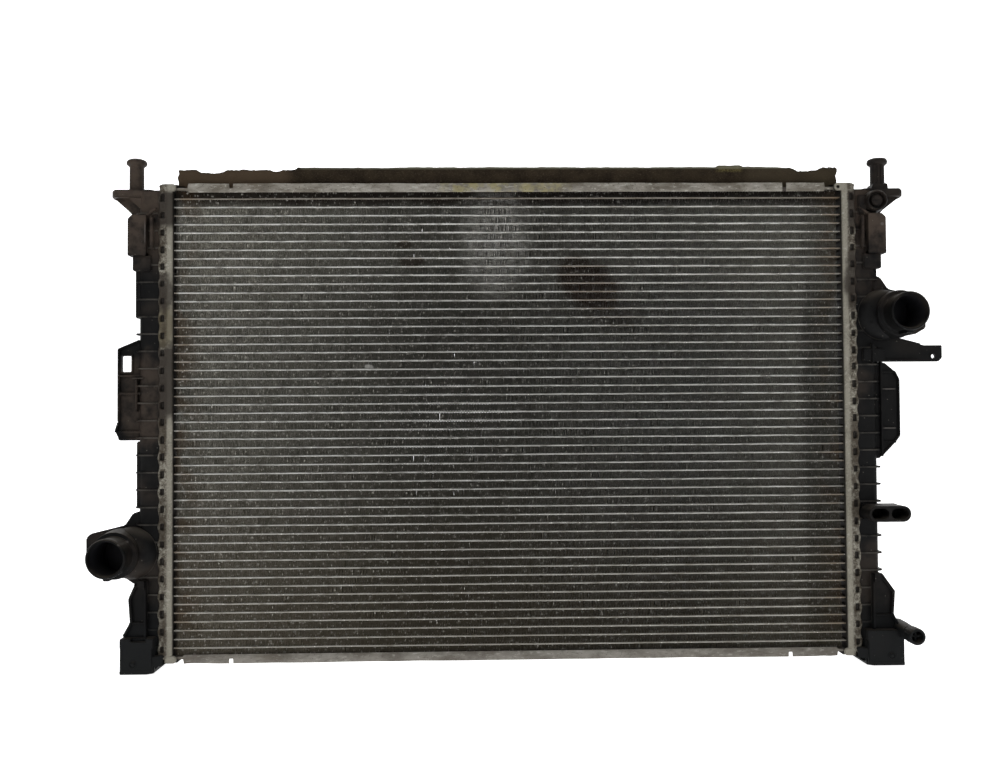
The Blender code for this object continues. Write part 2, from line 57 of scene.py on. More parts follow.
MIDDLE = np.array([(row_low.x + row_high.x) / 2, (row_low.y + row_high.y) / 2, 0.0])

# Core
TUBE_COUNT = 53
TUBE_PITCH = 8.6
TUBE_THICK = 1.8
TUBE_HALF_LENGTH = 336.4
CORE_HALF_DEPTH = (row_high.y - row_low.y) / 2 / MM
CORE_MID_Z = (row_low.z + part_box("core_row_27")[1].z) / 2 / MM
FIN_HALF_DEPTH = 12.6
# The fins run on past the core's face into the gap at each header, where their colour is painted
# shade.
FIN_HALF_LENGTH = 333.7
FACE_HALF_LENGTH = 330.0
FIN_SHEET = 0.14
LEG_PITCH = 1.4
FIN_CREST = 0.55  # height of the round turn between two legs of a fin

# Header plates and tanks
HEADER_HALF_DEPTH = 19.5
HEADER_HALF_LENGTH = 237.0
CRIMP_PITCH = 2 * TUBE_PITCH
TANK_OUT = 370.0
TANK_HALF_DEPTH = 16.5
TANK_HALF_LENGTH = 231.7
RIB_OFFSET = 1.9
PEG_X = {-1: 376.7, 1: 379.3}
PEG_TOP = 512.2
PEG_FLANGE_Z = (470.6, 478.2)
STUB_X = 387.0
STUB_Z = {-1: 116.3, 1: 348.8}
STUB_BORE = 15.7
STUB_MOUTH = -63.0
FOOT_OUT = {-1: 383.6, 1: 388.2}
FOOT_FRONT = -30.0
FOOT_BACK = 24.0
FOOT_TOP = 34.6
BLEED = (369.0, 463.6)
DRAIN = (389.2, 33.6)
SEAL_TOP = 502.8
NOTCH_X = 278.7  # places of the side plates' notches, from the middle
PLATE_FLANGE_REST = (233.8, 234.0)  # a flange's height in a notch, and past its ends
CORE_FRONT = (-3.0, -6.0)  # dirt that only the front has fades in between these depths
# Light marks on the plastic's front, the first a painted highlight: (x, z, half width, half height)
PAINTED_HIGHLIGHT_AND_MARKS = (
    (-361.2, 434.0, 0.5, 11.0),
    (-374.0, 130.0, 1.6, 1.2),
    (374.6, 440.0, 1.7, 1.5),
    (386.0, 43.0, 1.3, 1.1),
    (383.0, 274.1, 7.0, 0.8),
    (383.0, 234.5, 7.0, 0.8),
)


# Meshes


def make(name, points, faces, material, body="root", angle=35.0):
    """One piece from points in millimetres. It rides on a body and takes the given material."""
    mesh = bpy.data.meshes.new(name)
    world = np.asarray(points, float) * MM + MIDDLE
    mesh.from_pydata(world.tolist(), [], faces)
    mesh.materials.append(material)
    mesh.shade_smooth()
    mesh.set_sharp_from_angle(angle=math.radians(angle))
    piece = bpy.data.objects.new(name, mesh)
    bpy.context.scene.collection.objects.link(piece)
    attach(piece, body)
    return piece


def grid_faces(rows, columns, close_columns=True):
    """Quads between neighbouring rings of a loft."""
    faces = []
    last = columns if close_columns else columns - 1
    for row in range(rows - 1):
        for column in range(last):
            beside = (column + 1) % columns
            faces.append(
                (
                    row * columns + column,
                    row * columns + beside,
                    (row + 1) * columns + beside,
                    (row + 1) * columns + column,
                )
            )
    return faces


def loft(rings):
    """A closed body from an array of rings, each with the same number of points."""
    rings = np.asarray(rings, float)
    rows, columns = rings.shape[:2]
    faces = grid_faces(rows, columns)
    faces.append(tuple(range(columns - 1, -1, -1)))
    faces.append(tuple(range((rows - 1) * columns, rows * columns)))
    points = rings.reshape(-1, 3)
    first = points[list(faces[0])]
    outward = np.cross(first[1] - first[0], first[3] - first[0])
    if np.dot(outward, first.mean(0) - rings[0].mean(0)) < 0:
        faces = [face[::-1] for face in faces]
    return points, faces


def arc(centre, radius, start, end, steps):
    """Points on an arc, in degrees, both ends included."""
    points = []
    for i in range(steps + 1):
        angle = math.radians(start + (end - start) * i / steps)
        points.append((centre[0] + radius * math.cos(angle), centre[1] + radius * math.sin(angle)))
    return points


def rounded(x, z, radius, steps=6):
    """A rectangle with round corners, from (low, high) pairs."""
    points = []
    corners = ((x[1], z[1], 0), (x[0], z[1], 90), (x[0], z[0], 180), (x[1], z[0], 270))
    for corner_x, corner_z, start in corners:
        inward_x = -radius if corner_x == x[1] else radius
        inward_z = -radius if corner_z == z[1] else radius
        points += arc((corner_x + inward_x, corner_z + inward_z), radius, start, start + 90, steps)
    return points


def spread(a, b, level, across):
    """A point from two coordinates and its level along the third axis."""
    if across == "X":
        return (level, a, b)
    if across == "Y":
        return (a, level, b)
    return (a, b, level)


def soften(solid, bevel):
    """Rounds a closed solid's sharp edges, as a mould or a press does."""
    bmesh.ops.recalc_face_normals(solid, faces=solid.faces)
    if bevel:
        sharp = [e for e in solid.edges if e.calc_face_angle(0) > math.radians(28)]
        bmesh.ops.bevel(
            solid, geom=sharp, offset=bevel, segments=2, affect="EDGES", clamp_overlap=True
        )
    return solid


def prism(outline, across, low, high, bevel=0.5, holes=()):
    """A closed prism with optional holes through it."""
    solid = bmesh.new()
    loops = [list(outline)] + [list(hole) for hole in holes]
    rings = []
    for loop in loops:
        pair = []
        for level in (low, high):
            pair.append([solid.verts.new(spread(a, b, level, across)) for a, b in loop])
        rings.append(pair)
        for i in range(len(loop)):
            j = (i + 1) % len(loop)
            solid.faces.new((pair[0][i], pair[0][j], pair[1][j], pair[1][i]))
    if holes:
        triangles = tessellate_polygon([[Vector((a, b, 0)) for a, b in loop] for loop in loops])
        for level in (0, 1):
            flat = [vertex for pair in rings for vertex in pair[level]]
            for triangle in triangles:
                solid.faces.new([flat[i] for i in triangle])
    else:
        solid.faces.new(rings[0][0])
        solid.faces.new(rings[0][1])
    return soften(solid, bevel)


def block(x, y, z, bevel=0.5):
    """A rectangular block from (low, high) pairs."""
    outline = [(x[0], y[0]), (x[1], y[0]), (x[1], y[1]), (x[0], y[1])]
    return prism(outline, "Z", z[0], z[1], bevel)


def turned(profile, across, centre, steps=48, ring=False):
    """A turned solid about an axis along Y or Z, from (radius, place along the axis) points."""
    solid = bmesh.new()
    loops = []
    for radius, along in profile:
        loop = []
        for i in range(steps if radius > 0 else 1):
            angle = 2 * math.pi * i / steps
            a = centre[0] + radius * math.cos(angle)
            b = centre[1] + radius * math.sin(angle)
            loop.append(solid.verts.new(spread(a, b, along, across)))
        loops.append(loop)
    pairs = list(zip(loops, loops[1:]))
    if ring:
        pairs.append((loops[-1], loops[0]))
    for first, second in pairs:
        for i in range(steps):
            j = (i + 1) % steps
            corners = [first[i % len(first)], first[j % len(first)]]
            corners += [second[j % len(second)], second[i % len(second)]]
            face = list(dict.fromkeys(corners))
            if len(face) > 2:
                solid.faces.new(face)
    bmesh.ops.recalc_face_normals(solid, faces=solid.faces)
    return solid


def assemble(name, solids, material, side=1, body="root", angle=35.0):
    """One piece from several solids, mirrored to its side."""
    points = []
    faces = []
    for solid in solids:
        solid.verts.index_update()
        base = len(points)
        points += [(side * v.co.x, v.co.y, v.co.z) for v in solid.verts]
        for face in solid.faces:
            corners = [base + v.index for v in face.verts]
            faces.append(corners if side > 0 else corners[::-1])
        solid.free()
    return make(name, points, faces, material, body, angle)


def ripple(values, seed, period):
    """Smooth seeded noise from -1 to 1 along a line of places."""
    rng = np.random.default_rng(seed)
    values = np.asarray(values, float)
    low = values.min() - period
    knots = rng.uniform(-1, 1, int((values.max() - low) / period) + 3)
    place = (values - low) / period
    index = place.astype(int)
    share = place - index
    share = share * share * (3 - 2 * share)
    return knots[index] * (1 - share) + knots[index + 1] * share


def smooth_step(value, low, high):
    share = np.clip((np.asarray(value, float) - low) / (high - low), 0, 1)
    return share * share * (3 - 2 * share)


# Materials


def tone(red, green, blue):
    """A colour from 0 to 255 as the linear values that a shader takes."""
    linear = []
    for value in (red, green, blue):
        share = value / 255
        linear.append(share / 12.92 if share <= 0.04045 else ((share + 0.055) / 1.055) ** 2.4)
    return (*linear, 1.0)


class Shader:
    """A node tree for one material, built up in coats of colour.

    x, y, z and out, the distance from the core's middle, are in millimetres. Each value given to
    a call is a number or another node's output.
    """

    def __init__(self, name):
        self.material = bpy.data.materials.new(name)
        self.material.use_nodes = True
        self.tree = self.material.node_tree
        self.surface = self.tree.nodes["Principled BSDF"]
        place = self.tree.nodes.new("ShaderNodeTexCoord").outputs["Object"]
        moved = self.vector("ADD", place, tuple(-MIDDLE))
        self.place = self.vector("SCALE", moved, scale=1 / MM)
        split = self.tree.nodes.new("ShaderNodeSeparateXYZ")
        self.tree.links.new(self.place, split.inputs[0])
        self.x, self.y, self.z = split.outputs[:3]
        self.out = self.maths("ABSOLUTE", self.x)

    def feed(self, socket, value):
        if isinstance(value, bpy.types.NodeSocket):
            self.tree.links.new(value, socket)
        else:
            socket.default_value = value

    def maths(self, operation, a, b=0.0, clamp=False):
        node = self.tree.nodes.new("ShaderNodeMath")
        node.operation = operation
        node.use_clamp = clamp
        for socket, value in zip(node.inputs, (a, b)):
            self.feed(socket, value)
        return node.outputs[0]

    def vector(self, operation, a, b=(0.0, 0.0, 0.0), scale=1.0):
        node = self.tree.nodes.new("ShaderNodeVectorMath")
        node.operation = operation
        self.feed(node.inputs[0], a)
        self.feed(node.inputs[1], b)
        node.inputs[3].default_value = scale
        return node.outputs[0]

    def noise(self, size, detail=3.0, rough=0.55, stretch=(1.0, 1.0, 1.0), shift=0.0):
        """Cloudy noise from about 0.2 to 0.8, whose blotches are about size millimetres."""
        scaled = self.vector("MULTIPLY", self.place, tuple(1 / (size * s) for s in stretch))
        moved = self.vector("ADD", scaled, (shift, 1.7 * shift, 2.3 * shift))
        node = self.tree.nodes.new("ShaderNodeTexNoise")
        self.feed(node.inputs["Vector"], moved)
        node.inputs["Scale"].default_value = 1.0
        node.inputs["Detail"].default_value = detail
        node.inputs["Roughness"].default_value = rough
        return node.outputs["Fac"]

    def cells(self, size, shift=0.0):
        """Distance to the nearest of scattered points, in cells."""
        scaled = self.vector("SCALE", self.place, scale=1 / size)
        moved = self.vector("ADD", scaled, (shift, shift, shift))
        node = self.tree.nodes.new("ShaderNodeTexVoronoi")
        self.feed(node.inputs["Vector"], moved)
        node.inputs["Scale"].default_value = 1.0
        return node.outputs["Distance"]

    def band(self, value, low, high):
        """0 below low and 1 above high, smooth between. low may be the greater of the two."""
        node = self.tree.nodes.new("ShaderNodeMapRange")
        node.interpolation_type = "SMOOTHSTEP"
        self.feed(node.inputs["Value"], value)
        if low < high:
            limits = (low, high, 0.0, 1.0)
        else:
            limits = (high, low, 1.0, 0.0)
        for key, limit in zip(("From Min", "From Max", "To Min", "To Max"), limits):
            node.inputs[key].default_value = limit
        return node.outputs[0]

    def ramp(self, value, stops):
        """A curve of (place, level) stops, with places from 0 to 1."""
        node = self.tree.nodes.new("ShaderNodeValToRGB")
        self.feed(node.inputs[0], value)
        elements = node.color_ramp.elements
        for i, (place, level) in enumerate(stops):
            element = elements[i] if i < 2 else elements.new(place)
            element.position = place
            element.color = (level, level, level, 1)
        return node.outputs[0]

    def mix(self, factor, a, b):
        node = self.tree.nodes.new("ShaderNodeMix")
        node.data_type = "RGBA"
        self.feed(node.inputs[0], factor)
        self.feed(node.inputs[6], a)
        self.feed(node.inputs[7], b)
        return node.outputs[2]

    def product(self, *values):
        total = values[0]
        for value in values[1:]:
            total = self.maths("MULTIPLY", total, value)
        return total

    def greatest(self, first, *values):
        for value in values:
            first = self.maths("MAXIMUM", first, value)
        return first

    def inverse(self, value):
        return self.maths("SUBTRACT", 1.0, value)

    def scaled(self, value, factor, offset):
        return self.maths("ADD", self.maths("MULTIPLY", value, factor), offset)

    def within(self, value, low, full, fade, high):
        """0 up to low, 1 from full to fade, and 0 again from high."""
        return self.product(self.band(value, low, full), self.band(value, high, fade))

    def front(self):
        return self.band(self.y, *CORE_FRONT)

    def base(self, factor, first, second):
        """The first coat: two tones mixed by a factor."""
        self.colour = self.mix(factor, tone(*first), tone(*second))

    def coat(self, mask, strength, *rgb):
        """Lays a tone over the colour so far, where the mask is and up to a strength."""
        self.colour = self.mix(self.maths("MULTIPLY", mask, strength), self.colour, tone(*rgb))

    def spot(self, x, z, wide, tall, tilt=0.0, edge=0.35, size=9.0):
        """A soft-edged oval seen along Y, 1 inside and 0 outside, with a ragged rim."""
        dx = self.maths("SUBTRACT", self.x, x)
        dz = self.maths("SUBTRACT", self.z, z)
        cosine = math.cos(math.radians(tilt))
        sine = math.sin(math.radians(tilt))
        along = self.scaled(dx, cosine, self.maths("MULTIPLY", dz, sine))
        over = self.scaled(dx, -sine, self.maths("MULTIPLY", dz, cosine))
        reach = self.maths(
            "ADD",
            self.maths("POWER", self.maths("DIVIDE", along, wide), 2.0),
            self.maths("POWER", self.maths("DIVIDE", over, tall), 2.0),
        )
        ragged = self.maths("MULTIPLY", self.maths("SUBTRACT", self.noise(size), 0.5), 1.4)
        return self.band(self.maths("ADD", reach, ragged), 1.0 + edge, 1.0 - edge)

    def bump(self, height, distance, strength=1.0, normal=None):
        """A bump whose height, from 0 to 1, stands for distance in millimetres."""
        node = self.tree.nodes.new("ShaderNodeBump")
        node.inputs["Strength"].default_value = strength
        node.inputs["Distance"].default_value = distance * MM
        self.feed(node.inputs["Height"], height)
        if normal:
            self.feed(node.inputs["Normal"], normal)
        return node.outputs[0]

    def finish(self, rough, normal, metal, specular):
        self.feed(self.surface.inputs["Base Color"], self.colour)
        self.feed(self.surface.inputs["Roughness"], rough)
        self.feed(self.surface.inputs["Normal"], normal)
        self.surface.inputs["Metallic"].default_value = metal
        self.surface.inputs["Specular IOR Level"].default_value = specular
        return self.material


def core_marks(s):
    """Masks of the core: darker near its top edge, a stain with smudges, and both ends."""
    # Darker towards the core's top edge.
    rim = s.band(s.scaled(s.noise(30, shift=3.0), 12.0, s.z), 463.0, 474.0)
    stain = s.spot(80.0, 381.0, 36.0, 23.0, -42.0, 0.45, 7.0)
    halo = s.spot(94.0, 366.0, 40.0, 26.0, -40.0, 0.6)
    smudge = s.greatest(s.spot(-98.0, 405.0, 14.0, 5.0), s.spot(-108.0, 422.0, 9.0, 4.0))
    stain = s.greatest(stain, s.product(halo, 0.4), s.product(smudge, 0.6))
    corner = s.product(s.band(s.out, 300.0, 334.0), s.band(s.noise(26, shift=9.0), 0.42, 0.6))
    return rim, s.product(stain, s.front()), corner


def across_core(s):
    """Brightness of the core: lighter at the left and the top right, dull near the right edge."""
    share = s.maths("DIVIDE", s.maths("ADD", s.x, FACE_HALF_LENGTH), 2 * FACE_HALF_LENGTH)
    stops = ((0.0, 0.66), (0.04, 0.84), (0.2, 0.62), (0.37, 0.34), (0.5, 0.38), (0.75, 0.46))
    stops += ((0.9, 0.74), (0.94, 0.76), (0.955, 0.38), (1.0, 0.42))
    right = s.scaled(s.band(s.x, 60.0, 220.0), 0.24, 0.14)
    lift = s.product(s.band(s.z, 340.0, 410.0), right)
    return s.maths("ADD", s.ramp(share, stops), lift, clamp=True)


def tube_metal():
    """Bare, oxidised aluminium with a thin film of dust."""
    s = Shader("tube_aluminium")
    rim, stain, corner = core_marks(s)
    fine = s.noise(1.6, 2.0, shift=1.0)
    broad = s.noise(34.0, 4.0, stretch=(1.0, 1.0, 0.5), shift=5.0)
    s.base(s.band(broad, 0.3, 0.7), (174, 174, 169), (200, 201, 197))
    s.coat(s.band(fine, 0.52, 0.75), 1.0, 148, 145, 135)
    s.coat(s.band(s.noise(4.5, 3.0, 0.6, (2.5, 1.0, 0.4), 6.0), 0.46, 0.66), 0.7, 88, 86, 78)
    s.coat(s.band(s.x, 295.0, 304.0), 0.5, 96, 92, 84)
    dim = s.product(s.inverse(across_core(s)), s.band(s.z, 410.0, 350.0))
    s.coat(dim, 0.5, 84, 83, 79)
    s.coat(s.band(s.z, 230.0, 20.0), 0.35, 140, 131, 113)
    s.coat(s.band(s.cells(4.0, 3.0), 0.2, 0.1), 0.7, 236, 234, 226)
    s.coat(rim, 0.7, 88, 76, 60)
    s.coat(corner, 0.5, 120, 96, 66)
    s.coat(stain, 0.6, 92, 74, 56)
    return s.finish(s.scaled(broad, 0.3, 0.38), s.bump(fine, 0.05, 0.5), 0.35, 0.4)


def fin_metal():
    """Thin fin sheet, grey with road dust, darker towards the middle of the core."""
    s = Shader("fin_aluminium")
    rim, stain, corner = core_marks(s)
    grain = s.noise(1.1, 2.0, 0.7, shift=2.0)
    patch = s.noise(14.0, 4.0, 0.65, shift=7.0)
    s.base(s.band(patch, 0.32, 0.7), (150, 147, 136), (196, 192, 180))
    s.colour = s.mix(s.band(grain, 0.38, 0.6), tone(82, 78, 68), s.colour)
    s.coat(s.band(s.noise(1.3, 2.0, 0.6, (1.0, 1.0, 5.0), 8.0), 0.5, 0.62), 0.6, 226, 222, 210)
    s.colour = s.mix(across_core(s), tone(40, 38, 34), s.colour)
    s.coat(s.band(s.z, 260.0, 20.0), 0.45, 112, 98, 74)
    s.coat(rim, 0.9, 44, 34, 25)
    s.coat(corner, 0.55, 98, 74, 46)
    s.coat(stain, 0.92, 58, 39, 22)
    ragged = s.band(s.noise(2.4, 3.0, 0.7, (2.2, 1.0, 0.7), 17.0), 0.44, 0.56)
    crushed = s.product(s.spot(-14.0, 424.0, 34.0, 52.0, 0.0, 0.6), ragged, s.front())
    s.coat(crushed, 0.75, 236, 233, 228)
    s.coat(s.band(s.cells(5.0, 4.0), 0.26, 0.16), 0.85, 236, 232, 222)
    dent = s.product(s.spot(-142.0, 299.0, 4.6, 2.9, -10.0, 0.5, 4.0), s.front())
    s.coat(dent, 1.0, 244, 242, 238)
    # Painted shade: the fins' ends in the gap beside each header are darkened to stand for the
    # shade there.
    s.coat(s.band(s.out, 330.6, 333.2), 0.7, 26, 22, 18)
    return s.finish(s.scaled(patch, 0.25, 0.5), s.bump(grain, 0.08, 0.5), 0.15, 0.3)


def header_metal():
    """The crimped trays: dull aluminium with grime in patches, and pits dark with grime and painted
    shade.
    """
    s = Shader("header_aluminium_aged")
    fine = s.noise(1.8, 4.0, 0.65, shift=11.0)
    patch = s.noise(22.0, 5.0, 0.6, stretch=(1.0, 1.0, 1.6), shift=12.0)
    mottle = s.noise(4.0, 5.0, 0.72, shift=16.0)
    s.base(s.band(fine, 0.35, 0.65), (100, 95, 84), (138, 134, 122))
    ridge = s.product(s.band(s.out, 341.6, 340.0), s.band(s.noise(40.0, shift=15.0), 0.3, 0.55))
    s.coat(ridge, 0.6, 150, 146, 134)
    lumps = s.product(s.band(mottle, 0.47, 0.57), s.band(s.out, 340.5, 342.5))
    s.coat(lumps, 0.85, 60, 51, 40)
    s.coat(s.band(mottle, 0.43, 0.36), 0.6, 170, 167, 156)
    left = s.band(s.x, 0.0, -10.0)
    ends = s.scaled(s.noise(12.0, shift=14.0), 22.0, s.z)
    reach = s.greatest(left, s.band(s.out, 340.5, 343.0))
    top = s.product(s.band(ends, 442.0, 456.0), s.band(s.z, 477.0, 472.5), reach)
    belt = s.product(left, s.spot(-344.0, 284.0, 42.0, 38.0, 0.0, 0.4))
    stripe = s.product(left, s.spot(-346.0, 374.0, 12.0, 20.0, 0.0, 0.4), 0.85)
    right = s.product(s.inverse(left), s.spot(348.0, 384.0, 11.0, 28.0, 0.0, 0.6), 0.95)
    s.coat(s.product(left, s.spot(-346.0, 342.0, 13.0, 24.0, 0.0, 0.5)), 0.7, 88, 80, 58)
    s.coat(s.product(s.band(patch, 0.44, 0.58), s.band(s.out, 339.0, 343.0)), 0.8, 56, 47, 35)
    s.coat(s.greatest(top, belt, stripe, right), 0.92, 44, 37, 30)
    depth = s.maths("ABSOLUTE", s.y)
    # The pits' floors are dark with grime and painted shade.
    pits = s.product(s.band(depth, 18.8, 17.8), s.within(s.out, 343.4, 344.2, 347.6, 348.4))
    s.coat(pits, 0.92, 26, 21, 16)
    # Painted shade: the tray's inner side, facing the gap beside the fins, is painted nearly black.
    s.coat(s.product(s.band(depth, 18.2, 17.4), s.band(s.out, 337.9, 337.5)), 0.95, 24, 20, 16)
    return s.finish(s.scaled(fine, 0.3, 0.42), s.bump(fine, 0.15, 0.6), 0.3, 0.4)


def plate_metal():
    """The side plates: pale, oxidised, with yellowish and grey patches and fine pitting."""
    s = Shader("plate_aluminium_aged")
    fine = s.noise(1.4, 4.0, 0.7, shift=21.0)
    patch = s.noise(20.0, 4.0, 0.6, stretch=(1.6, 1.0, 0.6), shift=22.0)
    mottle = s.noise(4.0, 5.0, 0.7, (1.6, 1.0, 0.6), 25.0)
    s.base(s.band(patch, 0.35, 0.68), (104, 98, 88), (150, 146, 137))
    s.coat(s.band(mottle, 0.55, 0.66), 0.7, 184, 182, 173)
    s.coat(s.band(mottle, 0.45, 0.36), 0.6, 82, 76, 64)
    cloud = s.band(s.noise(9.0, shift=23.0), 0.4, 0.6)
    s.coat(s.product(s.spot(-5.0, 480.0, 60.0, 40.0, 0.0, 0.6), cloud), 0.6, 156, 148, 100)
    s.coat(s.band(s.cells(3.2, 5.0), 0.2, 0.1), 0.7, 70, 62, 52)
    dirt = s.product(s.band(s.noise(30.0, 3.0, shift=24.0), 0.5, 0.7), s.band(s.out, 120.0, 330.0))
    s.coat(dirt, 0.6, 96, 84, 68)
    s.coat(s.band(s.z, 30.0, 20.0), 0.3, 98, 95, 92)
    beside = s.maths("ABSOLUTE", s.maths("SUBTRACT", s.x, NOTCH_X))
    slot = s.product(s.band(beside, 2.4, 1.6), s.band(s.z, 400.0, 410.0), s.band(s.y, -12.0, -14.0))
    s.coat(slot, 0.9, 38, 29, 24)
    return s.finish(s.scaled(fine, 0.3, 0.4), s.bump(fine, 0.1, 0.5), 0.3, 0.4)


def tank_plastic(name, clean=0.0):
    """Black glass-filled nylon. Brown road dust lies on it, thickest near the top."""
    s = Shader(name)
    fine = s.noise(0.9, 3.0, 0.6, shift=31.0)
    cloud = s.noise(17.0, 5.0, 0.62, shift=32.0)
    broad = s.noise(60.0, 2.0, 0.5, shift=33.0)
    s.base(s.band(cloud, 0.3, 0.7), (9, 9, 10), (19, 19, 19))
    high = s.band(s.scaled(cloud, 60.0, s.z), 415.0, 480.0)
    belt = s.product(s.band(s.x, 0.0, -10.0), s.spot(-366.0, 268.0, 24.0, 46.0, 0.0, 0.6), 0.7)
    patch = s.product(s.band(broad, 0.5, 0.66), 0.35)
    dusty = s.product(s.greatest(high, belt, patch), s.band(cloud, 0.25, 0.6), 1.0 - clean)
    s.coat(dusty, 0.85, 72, 62, 54)
    edge = s.product(s.within(s.y, -18.6, -18.3, -17.4, -16.9), s.band(s.out, 376.0, 374.5))
    s.coat(s.product(edge, s.band(cloud, 0.3, 0.6)), 0.55, 82, 79, 74)
    ragged = s.scaled(s.noise(0.7, shift=34.0), 0.16, s.cells(7.0, 8.0))
    s.coat(s.band(ragged, 0.18, 0.12), 0.5, 112, 108, 100)
    # Light marks from the list, the first of them a painted highlight on the left pocket's inner
    # wall.
    for x, z, wide, tall in PAINTED_HIGHLIGHT_AND_MARKS:
        mark = s.product(s.spot(x, z, wide, tall, 0.0, 0.4, 2.0), s.band(s.y, -6.0, -9.0))
        s.coat(mark, 0.5, 104, 100, 96)
    s.coat(s.band(s.z, 50.0, 38.0), 0.6, 24, 26, 27)
    facing = s.tree.nodes.new("ShaderNodeNewGeometry").outputs["Normal"]
    split = s.tree.nodes.new("ShaderNodeSeparateXYZ")
    s.tree.links.new(facing, split.inputs[0])
    lying = s.product(s.band(split.outputs[2], 0.3, 0.9), s.band(cloud, 0.2, 0.55))
    s.coat(lying, 0.6, 88, 82, 74)
    for side, height in STUB_Z.items():
        dx = s.maths("SUBTRACT", s.x, side * STUB_X)
        dz = s.maths("SUBTRACT", s.z, height)
        reach = s.maths("SQRT", s.maths("ADD", s.product(dx, dx), s.product(dz, dz)))
        deep = s.within(s.y, STUB_MOUTH + 0.5, -54.0, 6.0, 7.0)
        s.coat(s.product(s.band(reach, 16.6, 16.2), deep), 0.85, 30, 30, 33)
    normal = s.bump(cloud, 0.2, 0.3, s.bump(fine, 0.06, 0.5))
    return s.finish(s.scaled(cloud, 0.3, 0.4), normal, 0.0, 0.11)


def foam():
    """Dirty felt-like foam."""
    s = Shader("seal_foam_aged")
    fibre = s.noise(0.8, 4.0, 0.75, stretch=(2.5, 1.0, 1.0), shift=41.0)
    patch = s.noise(18.0, 5.0, 0.65, shift=42.0)
    s.base(s.band(patch, 0.3, 0.68), (30, 23, 16), (50, 42, 31))
    s.coat(s.band(fibre, 0.5, 0.75), 1.0, 76, 67, 53)
    s.coat(s.band(s.x, -214.0, -230.0), 0.7, 80, 67, 53)
    s.coat(s.band(s.x, 236.0, 250.0), 0.5, 68, 60, 47)
    frayed = s.product(s.within(s.x, 209.0, 215.0, 234.0, 240.0), s.band(s.z, 495.0, 498.0))
    s.coat(s.product(frayed, s.band(fibre, 0.4, 0.55)), 0.8, 94, 86, 52)
    lip = s.product(s.within(s.x, -214.0, -206.0, 276.0, 292.0), s.band(s.z, 498.6, 500.6))
    s.coat(lip, 0.6, 122, 120, 100)
    return s.finish(0.95, s.bump(fibre, 0.5, 0.8), 0.0, 0.15)


def rubber():
    """Matt black rubber."""
    s = Shader("rubber_aged")
    fine = s.noise(1.0, 3.0, shift=51.0)
    s.base(s.band(fine, 0.35, 0.7), (18, 18, 18), (34, 33, 31))
    return s.finish(s.scaled(fine, 0.2, 0.65), s.bump(fine, 0.08, 0.5), 0.0, 0.3)


# Core


def tube_z(number):
    """Height of a tube's middle. Tube 0 is the lowest."""
    return CORE_MID_Z + (number - (TUBE_COUNT - 1) / 2) * TUBE_PITCH


def make_tubes(metal):
    """Flat tubes with round noses. Each wavers a little."""
    half = TUBE_THICK / 2
    nose = []
    for angle in np.linspace(-1.5708, 1.5708, 7):
        y = -(CORE_HALF_DEPTH - half) - half * math.cos(angle)
        nose.append((y, half * math.sin(angle)))
    section = np.array(nose + [(-y, -z) for y, z in nose])
    stations = np.linspace(-TUBE_HALF_LENGTH, TUBE_HALF_LENGTH, 115)
    for number in range(TUBE_COUNT):
        rings = np.zeros((len(stations), len(section), 3))
        rings[:, :, 0] = stations[:, None]
        rings[:, :, 1] = section[None, :, 0]
        rings[:, :, 2] = section[None, :, 1] + tube_z(number)
        rings[:, :, 2] += (0.12 * ripple(stations, 100 + number, 55.0))[:, None]
        front = section[:, 0] < 0
        waver = 0.1 * ripple(stations, 300 + number, 9.0)
        shift = np.where(front, 1.0, 0.0)[None, :] * waver[:, None]
        rings[:, :, 2] += 0.35 * shift
        rings[:, :, 1] += np.clip(-shift, 0, None)
        points, faces = loft(rings)
        tube = make(f"tube_{number + 1:02d}", points, faces, metal)
        if number % 2 == 0:
            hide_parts(f"core_row_{number // 2 + 1:02d}")


